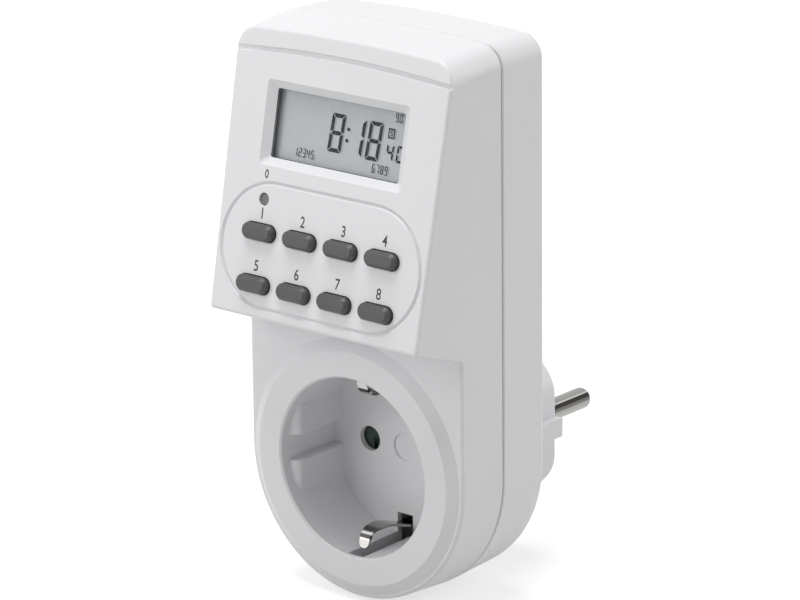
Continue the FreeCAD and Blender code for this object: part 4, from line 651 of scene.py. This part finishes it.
DARK_MARK = under_glass("lit_segment_tint", "#303437")
# The paler tint is painted shadow: each bar's shadow on the reflector beside it.
PAINTED_SHADOW_MARK = under_glass("painted_segment_shadow_tint", "#A2A7AB")
lay_marks("display_segments", MARKS, (0, 0), LIT_OUT, DARK_MARK)
lay_marks("display_painted_segment_shadows", MARKS, PAINTED_SHADOW_SHIFT, PAINTED_SHADOW_OUT, PAINTED_SHADOW_MARK)
print("bars, dots and sides laid:", [len(group) for group in MARKS])

# %% [markdown]
# The frame round the cell is pale grey. Between it and the window lies a thin black foam gasket, which also
# serves as painted shade for the shaded gap there: from the side it shows as a dark line along the window's
# edge. A darker band laid on the cell's edge is partly the cell's own edge seal and partly painted shade
# where the frame meets the cell, and it shows as a fainter line.

# %% Gasket and edge seal, partly painted shade
WINDOW_BACK = -2.15
HALF_VIEW = (17.35, 7.5)
MID_VIEW = 40.75
GASKET_SHADE_DEPTHS = (WINDOW_BACK - 0.01, WINDOW_BACK - 0.42)
SEAL_AND_SHADE_WIDTH = 0.22


def shaded_gap_gasket(inset):
    """A black band of four strips between two depths that lines the frame's opening, set in from it by an
    inset
    in millimetres: a gasket that also paints the shade of the gap there. Its faces are turned inward."""
    x, up = HALF_VIEW[0] - inset, HALF_VIEW[1] - inset
    loop = np.array([[-x, -up], [x, -up], [x, up], [-x, up]]) + np.array([0, MID_VIEW])
    points = np.concatenate([on_panel(loop[:, 0], loop[:, 1], out) for out in GASKET_SHADE_DEPTHS])
    faces = [(i, (i + 1) % 4, (i + 1) % 4 + 4, i + 4) for i in range(4)]
    return flat_piece("foam_gasket_and_painted_gap_shade", points, faces, FINISH["black_plastic"])


NODES["lcd_frame"].data.materials[0] = moulded("pale_frame_abs", "#D3D5D7", rough=0.5)
shaded_gap_gasket(inset=0.03)
# A darker band along the cell's edge: partly its edge seal, partly painted shade where the frame meets it.
SEAL_AND_SHADE = box_rim(-HALF_VIEW[0], HALF_VIEW[0], MID_VIEW - HALF_VIEW[1], MID_VIEW + HALF_VIEW[1], SEAL_AND_SHADE_WIDTH)
lay_marks("display_edge_seal_and_painted_shade", [SEAL_AND_SHADE], (0, 0), SEAL_AND_SHADE_OUT, under_glass("edge_seal_and_painted_shade_tint", "#6E7174"))
print("gasket between the depths", np.round(GASKET_SHADE_DEPTHS, 2), "mm")

# %% [markdown]
# ## Printed numbers
# The keys are marked by pad printing, a thin layer of dark ink above each key. Plain numbers 2.4 mm tall
# stand there. An image could carry them, but it would blur close up, so they come from Blender's own
# lettering, made narrower and a little bolder, turned to a mesh and laid a hundredth of a millimetre above
# the panel.

# %% Printed numbers
INK = moulded("dark_grey_print", "#3A3A3D", rough=0.55, drift=0.1, grain=0.1, depth=0.002)
KEY_COLUMNS = (-16.5, -5.5, 5.5, 16.5)
KEY_ROWS = (17.9, 6.95)
ABOVE_KEY, KEY_FIGURE = 2.8, 2.4
RESET_FIGURE = (-16.5, 29.2, 1.9)
FIGURE_SHARE = 0.73
NARROWED = 0.8
INK_SPREAD = 0.05
INK_HEIGHT = 0.012
NO_AREA = 1e-6


def printed(text, x, up, tall):
    """Figures centred at x, their foot at a height up the panel. They are FIGURE_SHARE of the lettering's
    size tall. Its filling holds triangles between points of one line, which have no area, so they're taken
    out."""
    curve = bpy.data.curves.new(f"figure_{text}", "FONT")
    curve.body = text
    curve.size = tall / FIGURE_SHARE
    curve.offset = INK_SPREAD
    curve.align_x = "CENTER"
    holder = bpy.data.objects.new("lettering", curve)
    bpy.context.scene.collection.objects.link(holder)
    shown = holder.evaluated_get(bpy.context.evaluated_depsgraph_get())
    mesh = bpy.data.meshes.new_from_object(shown)
    bpy.data.objects.remove(holder)
    work = bmesh.new()
    work.from_mesh(mesh)
    empty = [face for face in work.faces if face.calc_area() < NO_AREA]
    bmesh.ops.delete(work, geom=empty, context="FACES_ONLY")
    work.to_mesh(mesh)
    work.free()
    flat = np.zeros(len(mesh.vertices) * 3, np.float32)
    mesh.vertices.foreach_get("co", flat)
    flat = flat.reshape(-1, 3)
    placed = on_panel(flat[:, 0] * NARROWED + x, flat[:, 1] + up, INK_HEIGHT)
    mesh.vertices.foreach_set("co", placed.astype(np.float32).ravel())
    mesh.materials.clear()
    mesh.materials.append(INK)
    mesh.name = f"printed_{text}"
    piece = bpy.data.objects.new(f"printed_{text}", mesh)
    bpy.context.scene.collection.objects.link(piece)
    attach(piece, "root")
    return piece


PRINT = [printed(str(4 * row + column + 1), KEY_COLUMNS[column], KEY_ROWS[row] + ABOVE_KEY, KEY_FIGURE)
         for row in range(2) for column in range(4)]
PRINT.append(printed("0", *RESET_FIGURE))
print("printed:", [p.name for p in PRINT])

# %% [markdown]
# ## Light, room and floor
# A product picture of this kind has a large soft lamp overhead, a weaker one in front at the left, and one at
# the right for the side. Their level is kept plain, so that a colour renders about as it is written. The room
# is an even white. Camera, mirror and glass rays see it as pure white, and the floor adds a glow that only
# those rays see, so that it looks white too and still keeps the timer's soft shadow.

# %% Lamps
AIM = Vector((0, -0.03, 0.03))


def soft_lamp(name, place, size, power):
    """A round lamp that looks at the timer, its size in metres and its power in watts."""
    data = bpy.data.lights.new(name, "AREA")
    data.shape = "DISK"
    data.size = size
    data.energy = power
    lamp = bpy.data.objects.new(name, data)
    bpy.context.scene.collection.objects.link(lamp)
    lamp.location = Vector(place)
    lamp.rotation_euler = (AIM - lamp.location).to_track_quat("-Z", "Y").to_euler()
    return lamp


LAMPS = [soft_lamp("top_lamp", (-0.1, -0.15, 1.3), 0.9, 11.9),
         soft_lamp("front_lamp", (-0.33, -0.582, 0.312), 0.54, 1.8),
         soft_lamp("side_lamp", (1.05, 0.55, 0.45), 0.8, 4.5)]
print("lamps:", [(lamp.name, round(lamp.data.energy, 1)) for lamp in LAMPS])

# %% Room and floor
FLOOR_GAP = 0.2


def seen_directly(tree):
    """1 for camera, mirror and glass rays, else 0."""
    rays = add(tree, "ShaderNodeLightPath", out="Is Camera Ray").node.outputs
    mirror = add(tree, "ShaderNodeMath", {0: rays["Is Camera Ray"], 1: rays["Is Glossy Ray"]},
                 operation="MAXIMUM")
    return add(tree, "ShaderNodeMath", {0: mirror, 1: rays["Is Transmission Ray"]}, operation="MAXIMUM")


def make_room(strength):
    """A white world that lights the timer at a strength, and that is seen at full white."""
    world = bpy.data.worlds.new("white_room")
    bpy.context.scene.world = world
    world.use_nodes = True
    tree = world.node_tree
    level = add(tree, "ShaderNodeMapRange", {0: seen_directly(tree), 3: strength, 4: 1.0})
    tree.links.new(level, tree.nodes["Background"].inputs["Strength"])
    tree.nodes["Background"].inputs["Color"].default_value = (1, 1, 1, 1)


def make_floor(reach, glow):
    """A square floor just under the timer, out to a reach in metres, with a glow that only shows directly."""
    level = CAD_BOX[0][2] - FLOOR_GAP * MM
    corners = [(x * reach, y * reach, level) for x, y in ((-1, -1), (1, -1), (1, 1), (-1, 1))]
    mesh = bpy.data.meshes.new("floor")
    mesh.from_pydata(corners, [], [(0, 1, 2, 3)])
    floor = bpy.data.objects.new("floor", mesh)
    bpy.context.scene.collection.objects.link(floor)
    made, tree, shader, place = new_finish("pale_floor")
    drift = add(tree, "ShaderNodeTexNoise", {"Vector": place, "Scale": 1 / (60 * MM)})
    tone = add(tree, "ShaderNodeMix", {0: drift, 6: linear("#CACACA"), 7: linear("#D0D0D0")}, 2,
               data_type="RGBA")
    tree.links.new(tone, shader.inputs["Base Color"])
    shader.inputs["Roughness"].default_value = 0.9
    shader.inputs["Specular IOR Level"].default_value = 0.0
    shader.inputs["Emission Color"].default_value = (1, 1, 1, 1)
    shown = add(tree, "ShaderNodeMapRange", {0: seen_directly(tree), 3: 0.0, 4: glow})
    tree.links.new(shown, shader.inputs["Emission Strength"])
    mesh.materials.append(made)
    return level


make_room(strength=0.28)
FLOOR_LEVEL = make_floor(reach=4.0, glow=0.62)
bpy.context.scene.view_settings.view_transform = "Standard"
print("floor at", round(FLOOR_LEVEL / MM, 1), "mm")
